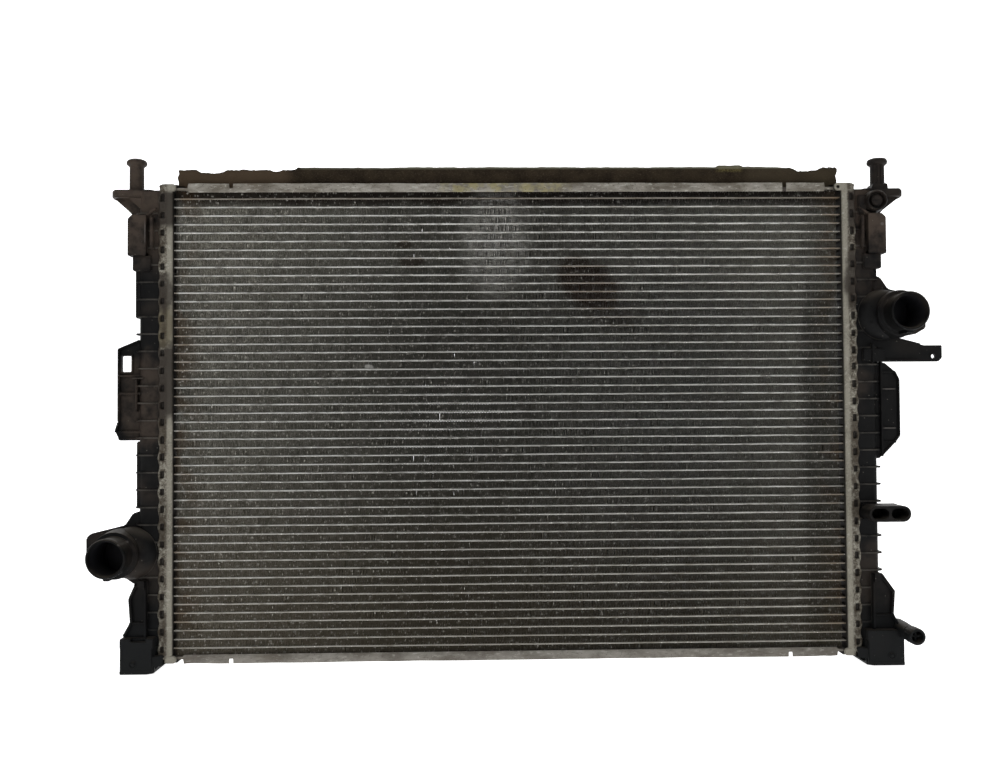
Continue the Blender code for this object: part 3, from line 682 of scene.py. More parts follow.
def fin_strip(number):
    """Points and faces of one fin strip: a closed sheet, folded up and down between two tubes."""
    rng = np.random.default_rng(1000 + number)
    top = tube_z(number) - TUBE_THICK / 2
    bottom = top - (TUBE_PITCH - TUBE_THICK)
    depths = np.array([-FIN_HALF_DEPTH, -4.6, FIN_HALF_DEPTH])
    offsets = np.array([0.0, 1.55, 0.0])
    count = int(2 * FIN_HALF_LENGTH / LEG_PITCH)
    legs = -FIN_HALF_LENGTH + LEG_PITCH * np.arange(count)
    legs = legs + rng.normal(0, 0.07, count)
    lean = rng.normal(0, 0.1, count)
    bend = 0.45 * rng.normal(0, 1, count) * smooth_step(ripple(legs, 2000 + number, 14.0), 0.1, 0.9)
    middle = (top + bottom) / 2
    crushed = np.exp(-(((legs + 13) / 26) ** 2) - ((middle - 428) / 42) ** 2)
    bend += crushed * rng.uniform(-1.3, 1.3, count)
    dented = np.exp(-(((legs + 142) / 5) ** 2) - ((middle - 299) / 4) ** 2)
    bend += dented * 1.6
    bend = np.clip(bend, -1.2, 1.2)
    # The path has three points a leg: its start, its end, and the crest after it.
    path_x, path_z, sway = np.zeros((3, 3 * count - 1))
    up = np.arange(count) % 2 == 0
    path_x[0::3] = legs - np.where(up, lean, -lean)
    path_x[1::3] = legs + np.where(up, lean, -lean)
    path_x[2::3] = (legs[:-1] + legs[1:]) / 2
    path_z[0::3] = np.where(up, bottom + FIN_CREST, top - FIN_CREST)
    path_z[1::3] = np.where(up, top - FIN_CREST, bottom + FIN_CREST)
    path_z[2::3] = np.where(up, top, bottom)[:-1]
    sway[0::3] = bend * 0.6
    sway[1::3] = bend
    sway[2::3] = (bend[:-1] + bend[1:]) / 2 * 0.2
    along = np.stack([np.gradient(path_x), np.gradient(path_z)], axis=1)
    along /= np.linalg.norm(along, axis=1, keepdims=True)
    normal = np.stack([-along[:, 1], along[:, 0]], axis=1) * FIN_SHEET / 2
    layers = []
    for sign in (1, -1):
        for depth, offset in zip(depths, offsets):
            x = path_x + sign * normal[:, 0] + offset
            z = np.clip(path_z + sign * normal[:, 1], bottom - 0.02, top + 0.02)
            y = np.full_like(x, depth)
            if depth == depths[0]:
                x = x + sway
                y = y + 0.35 * np.abs(sway)
            layers.append(np.stack([x, y, z], axis=1))
    # Each ring runs from front to back on one face of the sheet and returns on the other.
    order = [0, 1, 2, 5, 4, 3]
    rings = np.stack([layers[i] for i in order], axis=1)
    return loft(rings)


def make_fins(metal):
    for number in range(TUBE_COUNT + 1):
        points, faces = fin_strip(number)
        make(f"fin_{number + 1:02d}", points, faces, metal, angle=30.0)


# Header plates and side plates


def folded_ends(side, end, level):
    """The rounded tabs folded over both faces of a tray's end, and a curl at the top right one."""
    inner, outer = (332.4, 346.6) if side < 0 else (328.3, 346.6)
    if end < 0:
        inner, outer = 331.5, 345.5
    heights = sorted((level + end * 0.3, level - end * 7.2))
    outline = rounded((inner, outer), heights, 3.3, 6)
    curl = arc((inner + 3.7, level - 3.6), 1.7, 0, 340, 17)
    holes = [curl] if side > 0 and end > 0 else []
    lower = ((inner + 6, 3), (outer - 2.0, 3), (outer - 4.2, 10.5), (outer - 7.0, 11.5))
    lower = [(x, level - end * drop) for x, drop in lower]
    return [
        prism(outline, "Y", -20.0, -16.4, 0.9, holes=holes),
        prism(outline, "Y", 16.4, 20.0, 0.9),
        prism(lower, "Y", -19.9, -17.0, 0.8),
        prism(lower, "Y", 17.0, 19.9, 0.8),
    ]


def make_header(word, side, metal):
    """A tray whose walls are crimped over the tank's foot, with a row of pits along each wall."""
    step = 1.1
    z = np.arange(-HEADER_HALF_LENGTH, HEADER_HALF_LENGTH + step / 2, step)
    place = (z / CRIMP_PITCH + 0.5) % 1.0 - 0.5
    near = np.abs(place) * CRIMP_PITCH
    ragged = near + 0.7 * ripple(z, 45 if side < 0 else 46, 2.0)
    pit = 1 - smooth_step(ragged, 2.4, 3.7)
    pit = pit * (np.abs(z) < HEADER_HALF_LENGTH - 8)
    wave = 0.5 + 0.5 * np.cos(2 * math.pi * place)
    rough = ripple(z, 41 if side < 0 else 42, 6.0)
    depth = HEADER_HALF_DEPTH
    past = np.clip(np.abs(z) - (HEADER_HALF_LENGTH - 5.0), 0, 5.0)
    corner = 345.4 + np.sqrt(25.2 - past**2)
    walls = []
    for front in (-1, 1):
        outer = [
            (336.9, depth - 1.4, 0.0, 0.0),
            (335.9, depth - 0.9, 0.0, 0.0),
            (336.5, depth - 0.2, 0.0, 0.0),
            (337.8, depth, 0.0, 0.0),
            (341.5, depth, 0.0, 0.0),
            (343.5, depth - 0.1, 0.2, 0.0),
            (344.2, depth - 0.2, 2.4, 0.0),
            (345.2, depth - 0.3, 3.0, 0.0),
            (346.6, depth - 0.3, 3.0, 0.2),
            (347.4, depth - 0.4, 1.8, 0.7),
            (348.9, depth - 0.3, 0.3, 1.2),
            (350.1, depth - 1.2, 0.2, 1.6),
            (350.0, depth - 2.2, 0.4, 1.6),
            (349.0, depth - 2.5, 0.3, 1.2),
            (346.0, depth - 3.2, 0.3, 0.0),
            (340.0, depth - 3.3, 0.0, 0.0),
            (337.4, depth - 2.4, 0.0, 0.0),
        ]
        rings = np.zeros((len(z), len(outer), 3))
        for i, (x, y, sink, retreat) in enumerate(outer):
            rings[:, i, 0] = x - retreat * (1 - wave) * 0.9 - 0.25 * rough * (x > 344)
            rings[:, i, 0] = np.minimum(rings[:, i, 0], corner - 0.02 * (17 - i))
            rings[:, i, 1] = front * (y - sink * pit + 0.12 * rough * (x > 338))
            rings[:, i, 2] = CORE_MID_Z + z
        walls.append(loft(rings))
    points = np.concatenate([wall[0] for wall in walls])
    base = len(walls[0][0])
    faces = list(walls[0][1]) + [tuple(i + base for i in face) for face in walls[1][1]]
    points[:, 0] *= side
    if side < 0:
        faces = [tuple(reversed(face)) for face in faces]
    wall = make(f"header_walls_{word}", points, faces, metal)
    low = CORE_MID_Z - HEADER_HALF_LENGTH
    high = CORE_MID_Z + HEADER_HALF_LENGTH
    solids = [block((335.6, 337.3), (-18.6, 18.6), (low + 0.3, high - 0.3), 0.6)]
    for end, level in ((-1, low), (1, high)):
        inward = level - end * 3.2
        outline = [(336.2, level), (349.6, level), (349.6, inward), (336.2, inward)]
        solids.append(prism(outline, "Y", -17.6, 17.6, 0.9))
        tab = sorted((level, level - end * 1.6))
        solids.append(block((330.5, 337.0), (-17.0, 17.0), tab, 0.6))
        solids += folded_ends(side, end, level)
    for number in range(TUBE_COUNT):
        level = tube_z(number)
        ferrule = rounded((-12.8, 12.8), (level - 2.0, level + 2.0), 1.9, 3)
        hole = rounded((-12.2, 12.2), (level - 1.0, level + 1.0), 0.95, 3)
        solids.append(prism(ferrule, "X", 334.2, 336.2, 0.0, holes=[hole]))
    tray = assemble(f"header_tray_{word}", solids, metal, side)
    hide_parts(f"header_plate_{word}")
    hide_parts(f"header_plate_{word}")


def make_side_plate(word, up, metal):
    """A pressed channel. Its flanges lap the core, and the front one has a notch near each end."""
    first, last = (-321.6, 319.8) if up > 0 else (-325.5, 326.0)
    stations = [-334.0, -333.4, -331.0, first - 0.4, first + 0.4]
    stations += list(np.arange(first + 4.0, last - 3.0, 6.4))
    for notch in (-NOTCH_X, NOTCH_X):
        stations += [notch - 2.1, notch - 1.9, notch + 1.9, notch + 2.1]
    stations += [last - 0.4, last + 0.4, 331.0, 333.4, 334.0]
    stations = np.array(sorted(stations))
    sway = 0.28 * ripple(stations, 61 + up, 24.0)
    crinkle = 0.5 * ripple(stations, 71 + up, 3.0) * smooth_step(np.abs(stations), 300, 320)
    inside = smooth_step(stations - first, -0.3, 0.3) * smooth_step(last - stations, -0.3, 0.3)
    notched = np.zeros_like(stations)
    for notch in (-NOTCH_X, NOTCH_X):
        notched = np.maximum(notched, 1 - smooth_step(np.abs(stations - notch), 1.95, 2.05))
    # The outside from the front's edge to the back's, and then the inside back to the front.
    outside = [(14.9, 238.5, 1), (15.0, 237.6, 1), (15.05, 233.0, 0), (15.0, 230.5, 0)]
    outside += [(14.7, 229.7, 0), (13.9, 229.7, 0), (13.5, 230.4, 0), (13.3, 231.8, 0)]
    inside_face = [(14.1, 238.6, 1), (13.7, 237.9, 1), (13.5, 234.4, 0), (12.6, 233.2, 0)]
    section = [(-y, level, edge) for y, level, edge in outside] + outside[::-1]
    section += inside_face + [(-y, level, edge) for y, level, edge in inside_face[::-1]]
    rings = np.zeros((len(stations), len(section), 3))
    for i, (y, level, is_edge) in enumerate(section):
        height = np.full_like(stations, level)
        if is_edge:
            height += sway + crinkle
            if y < 0:
                height = height * (1 - notched) + notched * PLATE_FLANGE_REST[0]
            height = height * inside + (1 - inside) * PLATE_FLANGE_REST[1]
        elif level < 231:
            height = height * inside + (1 - inside) * 231.6
        rings[:, i, 0] = stations
        rings[:, i, 1] = y + (0.15 * sway + 0.5 * crinkle) * (1 if abs(y) > 13 else 0) * np.sign(-y)
        rings[:, i, 2] = CORE_MID_Z + up * height
    points, faces = loft(rings)
    plate = make(f"side_channel_{word}", points, faces, metal)
    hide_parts(f"side_plate_{word}")


def seal_top(x):
    """Height of the air seal's torn top edge."""
    height = np.full_like(x, 501.6)
    height -= 2.3 * (1 - smooth_step(x, -216, -212))
    height += 0.9 * np.exp(-(((x + 214) / 2.2) ** 2))
    height -= 1.6 * np.exp(-(((x + 235) / 6) ** 2))
    height -= 3.4 * smooth_step(x, -316, -309) * (1 - smooth_step(x, -292, -283))
    height -= 3.8 * smooth_step(x, 286, 296) * (1 - smooth_step(x, 312, 321))
    height -= 0.6 * smooth_step(x, 240, 285)
    height += 1.6 * smooth_step(x, 210.5, 213) * (1 - smooth_step(x, 236, 239))
    height += 0.35 * ripple(x, 81, 26.0) + 0.25 * ripple(x, 82, 6.0)
    torn = (x < -218) | (x > 284)
    return height + np.where(torn, 0.45, 0.08) * ripple(x, 83, 1.6)


def make_air_seal(material):
    """A soft strip in the top channel: torn along its edge, and ragged at both ends."""
    x = np.arange(-332.6, 335.0, 1.3)
    top = seal_top(x)
    foot = 479.2 + 3.6 * smooth_step(np.abs(x), 324, 327)
    puff = 0.35 * ripple(x, 84, 17.0) + 0.12 * ripple(x, 85, 3.0)
    levels = np.array([0.0, 0.25, 0.5, 0.75, 0.92, 1.0])
    front = np.array([-7.6, -8.2, -8.5, -8.4, -8.3, -7.0])
    back = np.array([7.6, 8.3, 8.5, 8.3, 8.0, 6.8])
    columns = []
    for i, share in enumerate(levels):
        columns.append((front[i] - puff * share * 0.8, foot + (top - foot) * share))
    for i, y in enumerate((-4.0, 0.0, 4.0)):
        hollow = 0.7 * ripple(x, 86 + i, 4.0) - 0.5
        columns.append((np.full_like(x, y), top + np.minimum(hollow, 0.25)))
    for i in range(len(levels) - 1, -1, -1):
        share = levels[i]
        columns.append((back[i] + puff * share * 0.6, foot + (top - 0.4 - foot) * share))
    rings = np.zeros((len(x), len(columns), 3))
    for i, (y, z) in enumerate(columns):
        ragged = 0.7 * math.sin(2.3 * i) + 0.5 * math.sin(5.1 * i)
        squeeze = np.where(np.abs(x) > 331.5, ragged, 0.0)
        rings[:, i, 0] = x + squeeze
        rings[:, i, 1] = y
        rings[:, i, 2] = z
    points, faces = loft(rings)
    seal = make("air_seal_strip", points, faces, material, angle=60.0)
    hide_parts("air_seal_top")


def make_fibres(material):
    """Loose torn fibres on the seal's ragged stretches, each a thin pyramid."""
    rng = np.random.default_rng(91)
    points = []
    faces = []
    stretches = ((-330, -284, 60), (-245, -208, 40), (205, 236, 90), (286, 332, 60))
    for start, end, count in stretches:
        for _ in range(count):
            x = rng.uniform(start, end)
            y = rng.uniform(-8.0, 2.0)
            z = float(seal_top(np.array([x, start, end]))[0]) - rng.uniform(0.2, 0.8)
            lean = rng.normal(0, 1.0, 3) * np.array([1.6, 0.7, 0.3]) + np.array([0, -0.3, 1.0])
            tip = np.array([x, y, z]) + lean * rng.uniform(0.4, 0.9)
            base = len(points)
            wide = rng.uniform(0.12, 0.3)
            for dx, dy in ((-wide, 0), (wide, -wide), (wide * 0.4, wide)):
                points.append((x + dx, y + dy, z - 0.5))
            points.append(tuple(np.clip(tip, None, (400, 20, SEAL_TOP + 0.3))))
            faces += [(base, base + 2, base + 1), (base, base + 1, base + 3)]
            faces += [(base + 1, base + 2, base + 3), (base + 2, base, base + 3)]
    make("air_seal_fibres", points, faces, material)


# Tanks


def tank_section(x_in, x_out, half_depth, corner):
    """A tank's outline from above: flat towards the core, with round outer corners."""
    outline = [(x_in, -half_depth)]
    outline += arc((x_out - corner, corner - half_depth), corner, -90, 0, 6)
    outline += arc((x_out - corner, half_depth - corner), corner, 0, 90, 6)
    outline.append((x_in, half_depth))
    return outline


def tank_body():
    """The moulded trough, its foot in the header, and the ribs round it."""
    body = tank_section(347.0, TANK_OUT, TANK_HALF_DEPTH, 7.0)
    low = CORE_MID_Z - TANK_HALF_LENGTH
    high = CORE_MID_Z + TANK_HALF_LENGTH
    solids = [
        prism(body, "Z", low, high, 1.6),
        block((341.0, 349.0), (-16.0, 16.0), (low - 2.5, high + 2.5), 0.8),
    ]
    rib = tank_section(348.5, 373.6, 18.0, 7.5)
    for number in range(-13, 13):
        middle = CORE_MID_Z + number * CRIMP_PITCH + RIB_OFFSET
        solids.append(prism(rib, "Z", middle - 0.85, middle + 0.85, 0.35))
    return solids


def peg(side):
    """A round-headed peg on a flange with flat sides, and the gusset under it."""
    centre = (PEG_X[side], 0.0)
    low, high = PEG_FLANGE_Z
    shaft = [(0, low + 1), (8.4, low + 1), (8.2, high + 0.6), (7.4, high + 1.6), (7.2, high + 3)]
    head = [(7.1, 9.4), (7.4, 8.4), (8.8, 7.4), (9.8, 6.4), (10.1, 5.4), (10.1, 4.2), (9.7, 3.0)]
    head += [(8.6, 1.9), (6.6, 1.0), (3.6, 0.4), (0, 0.2)]
    shaft += [(radius, PEG_TOP - drop) for radius, drop in head]
    disc = [(x, max(-15.0, min(15.0, y))) for x, y in arc(centre, 23.5, 0, 360 - 7.5, 47)]
    tip = PEG_X[side] + 23.5
    gusset = [(362, low + 1), (tip - 3, low + 1), (tip - 3, low), (383, 457.8), (375, 449)]
    gusset.append((362, 444))
    brace = [(362, 470), (381, 470), (362, 452)]
    return [
        turned(shaft, "Z", centre, 48),
        prism(disc, "Z", low, high, 1.2),
        prism(gusset, "Y", -5, 5, 0.8),
        prism(brace, "Y", -14.5, -12.5, 0.5),
        prism(brace, "Y", 12.5, 14.5, 0.5),
    ]


def shroud_pocket():
    """A pocket for the fan shroud's tongue, open at its top, with a thin wall beside it."""
    bevel = [(360.3, 410.5), (378.4, 410.5), (378.4, 447), (374.4, 451), (360.3, 451)]
    ledge = [(363.0, 448.6), (357.5, 452.2), (351.6, 457.0), (351.6, 459.2), (358.4, 454.8)]
    ledge.append((363.0, 451.2))
    return [
        prism(bevel, "Y", -25, -22.4, 0.5),
        prism(bevel, "Y", -16.6, -12, 0.5),
        block((360.3, 363), (-24.6, -12), (410.5, 451), 0.5),
        block((375.6, 378.4), (-24.6, -12), (410.5, 447), 0.5),
        block((360.3, 378.4), (-24.6, -12), (410.5, 414), 0.5),
        block((354, 357.2), (-23, -12), (417, 449), 0.6),
        block((357, 374.9), (-20, -10), (396, 411), 0.8),
        prism(ledge, "Y", -22.5, -12, 0.5),
    ]


def stub(side):
    """Hose stub: a thin-walled spout with a beaded mouth and a stop collar."""
    z = STUB_Z[side]
    bore = [(0, 5.0), (STUB_BORE, 5.0), (STUB_BORE, STUB_MOUTH + 4.0), (16.8, STUB_MOUTH + 0.6)]
    bore.append((17.2, STUB_MOUTH))
    spout = [(18.0, STUB_MOUTH), (18.7, STUB_MOUTH + 0.6), (19.1, STUB_MOUTH + 1.6)]
    spout += [(19.2, STUB_MOUTH + 3.6), (18.9, STUB_MOUTH + 4.9), (18.5, STUB_MOUTH + 5.6)]
    spout += [(18.5, -39.4), (19.4, -38.4), (22.4, -38.0), (22.9, -37.4), (22.9, -34.9)]
    spout += [(22.4, -34.2), (21.2, -33.6), (21.6, -30), (24.3, -20), (24.5, 4), (22, 8), (0, 9)]
    return turned(bore + spout, "Y", (STUB_X, z), 72)


def stub_root(side):
    """The rounded body behind the spout, its web and the small key under the mouth."""
    z = STUB_Z[side]
    bulb = [(0, -29.0), (8, -28.8), (14, -28.0), (19, -26.2), (22.4, -23.6), (24.8, -20), (26, -15)]
    bulb += [(26, 5), (25, 9), (22, 11.4), (0, 12.4)]
    web = [(366, 42), (376.4, 38.9), (384.3, 27.1), (418, 19), (422.5, 15), (422.5, -13)]
    web += [(412, -19), (385.7, -24), (376, -30.6), (366, -34)]
    web = [(x, z + rise) for x, rise in web]
    return [
        turned(bulb, "Y", (376, z), 64),
        prism(web, "Y", -12, -6, 1.0),
        block((STUB_X - 3, STUB_X + 3), (STUB_MOUTH + 3, -38), (z - 21.2, z - 17), 0.6),
        block((360, STUB_X - 4), (-27.5, -12), (z + 6, z + 8), 0.6),
        block((360, STUB_X - 4), (-27.5, -12), (z - 9, z - 7), 0.6),
    ]


def foot(side):
    """A foot with a slanted front corner, open at its back, and the pillar with a rim above it."""
    out = FOOT_OUT[side]
    front = FOOT_FRONT
    chamfered = [(out, 0.0), (354.2, 0.0), (343.2, 11.4), (343.2, 7.9), (out, 7.9)]
    sole = [(out, front), (357, front), (351.5, -25.5), (351.5, FOOT_BACK), (out, FOOT_BACK)]
    nose = [(357, front), (343.5, -20.2), (343.5, -16.0), (357, -16.0)]
    pillar = [(359.8, 90), (369.5, 90), (out - 6.2, 73), (out - 7.8, 49.2), (out, 35)]
    pillar += [(out, 30), (359.8, 30)]
    crown = [(351.2, 25.0), (out, 25.0), (out, FOOT_TOP), (351.2, FOOT_TOP)]
    if side < 0:
        crown[3:3] = [(373.0, FOOT_TOP), (373.0, 31.4), (358.5, 31.4), (358.5, FOOT_TOP)]
    solids = [
        prism(sole, "Z", 0, 3.6, 0.5),
        block((352.4, out - 0.4), (front + 0.4, front + 3.4), (0.5, 31.0), 0.6),
        block((out - 3.4, out - 0.2), (front + 0.2, FOOT_BACK - 0.2), (0.3, FOOT_TOP - 0.2), 0.6),
        prism(crown, "Y", front, front + 6.0, 0.6),
        block((351.2, out), (front + 5.4, FOOT_BACK - 0.1), (25.0, FOOT_TOP), 0.6),
        block((351.4, 356.3), (-25.4, FOOT_BACK - 0.3), (0.4, 26), 0.6),
        block((355.6, 373.4), (-25.0, FOOT_BACK - 3), (10.8, 26), 0.6),
        prism(chamfered, "Y", -20.2, FOOT_BACK - 0.2, 0.5),
        prism(nose, "Z", 6.0, 16.7, 0.8),
        prism(pillar, "Y", -20, 12, 1.0),
    ]
    rim = [(out - 6.4, 72.4), (out - 8.0, 49.2), (out - 0.6, 36.0), (out - 3.4, 36.0)]
    rim += [(out - 10.6, 49.4), (out - 8.8, 71.4), (367.6, 87.6), (369.6, 89.4)]
    cap = [(360, 90), (369.2, 90), (372.2, 85.4), (360, 80)]
    dot = [(0, -0.35), (1.6, -0.35), (2.0, -0.1), (2.4, 0.4), (0, 0.4)]
    ring = [(2.9, -0.25), (3.5, -0.25), (3.6, 0.4), (2.9, 0.4)]
    dot, ring = ([(radius, front + y) for radius, y in shape] for shape in (dot, ring))
    mark = (out - 12.7, 9.8)
    return solids + [
        prism(rim, "Y", -24, -19, 0.5),
        block((359.8, 362.0), (-24, -19), (34, 90), 0.5),
        block((360.2, out - 7.0), (-22.8, -19), (47.4, 49.2), 0.4),
        prism(cap, "Y", -24, -19, 0.5),
        turned(dot, "Y", mark, 24),
        turned(ring, "Y", mark, 24, ring=True),
    ]


def left_bracket():
    """Windowed plate with a rim, three stiffening ribs and two raised pads."""
    plate = [(364, 326), (369.3, 328.1), (391.4, 319), (391.4, 246), (394.4, 236), (390.5, 227.5)]
    plate.append((364, 227.5))
    window = rounded((378.2, 387.8), (295.8, 311.8), 1.2, 3)
    frame_out = rounded((376.6, 389.6), (294.2, 313.4), 2.0, 3)
    solids = [
        prism(plate, "Y", -10, -7, 0.4, holes=[window]),
        prism(frame_out, "Y", -12.2, -9, 0.3, holes=[window]),
        block((389.4, 391.4), (-14, -7), (246, 319), 0.5),
        prism([(389.4, 246), (391.4, 246), (394.4, 236), (392.3, 235.6)], "Y", -14, -7, 0.5),
        prism([(370, 328), (391.4, 319), (391.2, 317.2), (370, 326)], "Y", -13.4, -7, 0.5),
        block((366, 372.6), (-13, 13), (161, 226.5), 1.0),
        block((366, 374), (-13, 13), (349.3, 397), 1.0),
        block((364.5, 376.0), (-17.4, -7), (288.5, 290.1), 0.4),
        block((371.5, 373.4), (-15.5, -7), (256.5, 290), 0.5),
        block((366, 391.0), (-12.4, -7), (228.2, 230.0), 0.4),
    ]
    for rib_z in (235.9, 274.3, 291.9):
        solids.append(block((366, 391.4), (-14, -7), (rib_z - 1, rib_z + 1), 0.4))
    return solids


def right_arm():
    """Arm under the upper stub, thinner towards its tip, with a lip along its lower edge."""
    root = [(364, 331), (390.3, 326.4), (415, 319.7), (415, 301.7), (364, 301.7)]
    tip = [(412, 320.2), (420.4, 318.2), (438.4, 318.2), (438.4, 305.4), (434.6, 301.7)]
    tip.append((412, 301.7))
    hole = arc((429.1, 307.0), 2.2, 0, 340, 17)
    eye = arc((429.1, 307.0), 4.0, 0, 340, 17)
    return [
        prism(root, "Y", -14.5, -8, 0.8),
        prism(tip, "Y", -12, -8, 0.5, holes=[hole]),
        prism(eye, "Y", -12.6, -11, 0.2, holes=[hole]),
        block((376, 413), (-18, -8), (301.7, 303.9), 0.6),
        block((355, 377), (-20, -12), (302, 314.5), 0.8),
        block((363.5, 366.0), (-22, -12), (300.5, 320.0), 0.6),
        block((355, 377), (-21.2, -12), (312.6, 314.6), 0.5),
        prism([(376, 330), (391, 326.2), (391, 324.4), (376, 328.2)], "Y", -16.5, -8, 0.5),
        prism([(415, 319.9), (390, 326.4), (390, 324.8), (415, 318.2)], "Y", -15.6, -8, 0.4),
    ]


def right_bracket():
    """Plate below the arm, with an upright rib and cross ribs."""
    plate = [(364, 303), (380.3, 300.6), (389.9, 292.6), (394.3, 283.7), (394.3, 226.5)]
    plate += [(389.6, 220.6), (373.3, 203.9), (364, 203.9)]
    rim = [(394.3, 226.8), (389.6, 220.6), (376, 206.6), (374.8, 207.8), (388.4, 221.8)]
    rim.append((392.6, 227.4))
    slope = [(389.9, 292.6), (394.3, 283.7), (392.6, 283.2), (388.6, 291.4)]
    solids = [
        prism(plate, "Y", -10, -7, 0.5),
        block((374.4, 376.4), (-14, -7), (206, 302), 0.5),
        block((366, 372.5), (-13, 13), (383.5, 400), 1.0),
        prism(slope, "Y", -12.6, -7, 0.4),
        block((392.6, 394.3), (-12.6, -7), (227, 284), 0.4),
        prism(rim, "Y", -12.6, -7, 0.4),
    ]
    for rib_z in (220.4, 234.5, 274.1, 291.5):
        solids.append(block((374.4, 390), (-13, -7), (rib_z - 0.9, rib_z + 0.9), 0.4))
    return solids


def right_lug():
    """A hollow lug with round ends and two cells."""
    outline = rounded((349.2, 390.6), (143.1, 158.7), 7.79, 8)
    cells = [rounded(x, (145.6, 156.2), 5.2, 6) for x in ((351.7, 368.8), (371.2, 388.1))]
    return [
        prism(outline, "Y", -46, -23, 0.5, holes=cells),
        prism(outline, "Y", -23.2, -20.3, 0.5),
        block((352, 386), (-22, -13), (143.1, 158.7), 0.6),
        block((349.6, 372), (-19, -12), (141.4, 143.6), 0.4),
    ]


def bosses():
    """The right tank's bosses for the bleed screw and the drain plug, bored for their shanks."""
    bleed = [(0, -14.5), (4.2, -14.5), (4.2, -22.0), (8.0, -22.0), (8.2, -26.6), (8.8, -27.9)]
    bleed += [(9.6, -28), (10.2, -27.2), (10.4, -24), (11.4, -17), (11.6, -10), (0, -10)]
    drain = [(0, -24.0), (5.0, -24.0), (5.0, -42), (6.7, -42), (7.5, -41.2), (7.6, -36), (8.4, -20)]
    drain += [(8.6, -8), (0, -8)]
    bridge = [(352, 470), (361, 470), (361, 458), (358, 452), (352, 452)]
    return [
        turned(bleed, "Y", BLEED, 48),
        turned(drain, "Y", DRAIN, 40),
        block((366, 389), (-16, -8), (28.6, 38.6), 0.8),
        prism(bridge, "Y", -22, -12, 1.0),
    ]


def split_peg_trim():
    """The right peg's two-lobed head, the two ribs beside its seam and the block at its base."""
    x = PEG_X[1]
    lobe = [(0, PEG_TOP - 7), (4.4, PEG_TOP - 7), (5.4, PEG_TOP - 6), (5.8, PEG_TOP - 4.6)]
    lobe += [(5.6, PEG_TOP - 2.6), (4.6, PEG_TOP - 1.0), (2.6, PEG_TOP - 0.1), (0, PEG_TOP)]
    collar = [(x - 9.6, 478), (x - 7.0, 484.6), (x + 7.4, 484.6), (x + 8.4, 478)]
    return [
        turned(lobe, "Z", (x + 4.6, 0.0), 28),
        turned([(r, along - 1.2) for r, along in lobe], "Z", (x - 4.8, 0.0), 28),
        block((x - 2.6, x - 0.9), (-8.3, -3), (484, PEG_TOP - 8), 0.4),
        block((x + 0.9, x + 2.6), (-8.3, -3), (484, PEG_TOP - 8), 0.4),
        prism(collar, "Y", -8.6, 8.6, 0.7),
    ]


def make_tanks(plastic, clean):
    for word, side in SIDES.items():
        body = assemble(f"tank_body_{word}", tank_body(), plastic, side)
        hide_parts(f"tank_{word}")
        assemble(f"peg_{word}", peg(side), clean if side > 0 else plastic, side)
        pocket = assemble(f"pocket_{word}", shroud_pocket(), plastic, side)
        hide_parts(f"shroud_pocket_{word}")
        spout = assemble(f"stub_spout_{word}", [stub(side)], plastic, side)
        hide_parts(f"hose_stub_{word}")
        assemble(f"stub_root_{word}", stub_root(side), plastic, side)
        assemble(f"foot_{word}", foot(side), clean, side)
    left, right = SIDES["left"], SIDES["right"]
    bracket = assemble("bracket_left", left_bracket(), plastic, left)
    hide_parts("clip_bracket_left")
    assemble("arm_right", right_arm(), clean, right)
    assemble("bracket_right", right_bracket(), clean, right)
    lug = assemble("lug_right", right_lug(), clean, right)
    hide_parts("clip_lug_right")
    assemble("bosses_right", bosses(), clean, right)
    assemble("peg_trim_right", split_peg_trim(), clean, right)


# Screws


def thread(centre, radius, pitch, start, end, steps=20):
    """A screw thread: a small ridge that winds round the shank."""
    turns = (end - start) / pitch
    count = int(turns * steps)
    rings = np.zeros((count + 1, 4, 3))
    for i in range(count + 1):
        angle = 2 * math.pi * i / steps
        along = start + pitch * i / steps
        fade = min(1.0, i / steps, (count - i) / steps)
        tall = 0.1 + 0.55 * fade
        ridge = ((-0.4, -0.45), (-0.4, 0.45), (tall, 0.12), (tall, -0.12))
        for j, (out, shift) in enumerate(ridge):
            r = radius + out
            x = centre[0] + r * math.cos(angle)
            z = centre[1] + r * math.sin(angle)
            rings[i, j] = (x, along + shift * pitch * 0.6, z)
    return loft(rings)


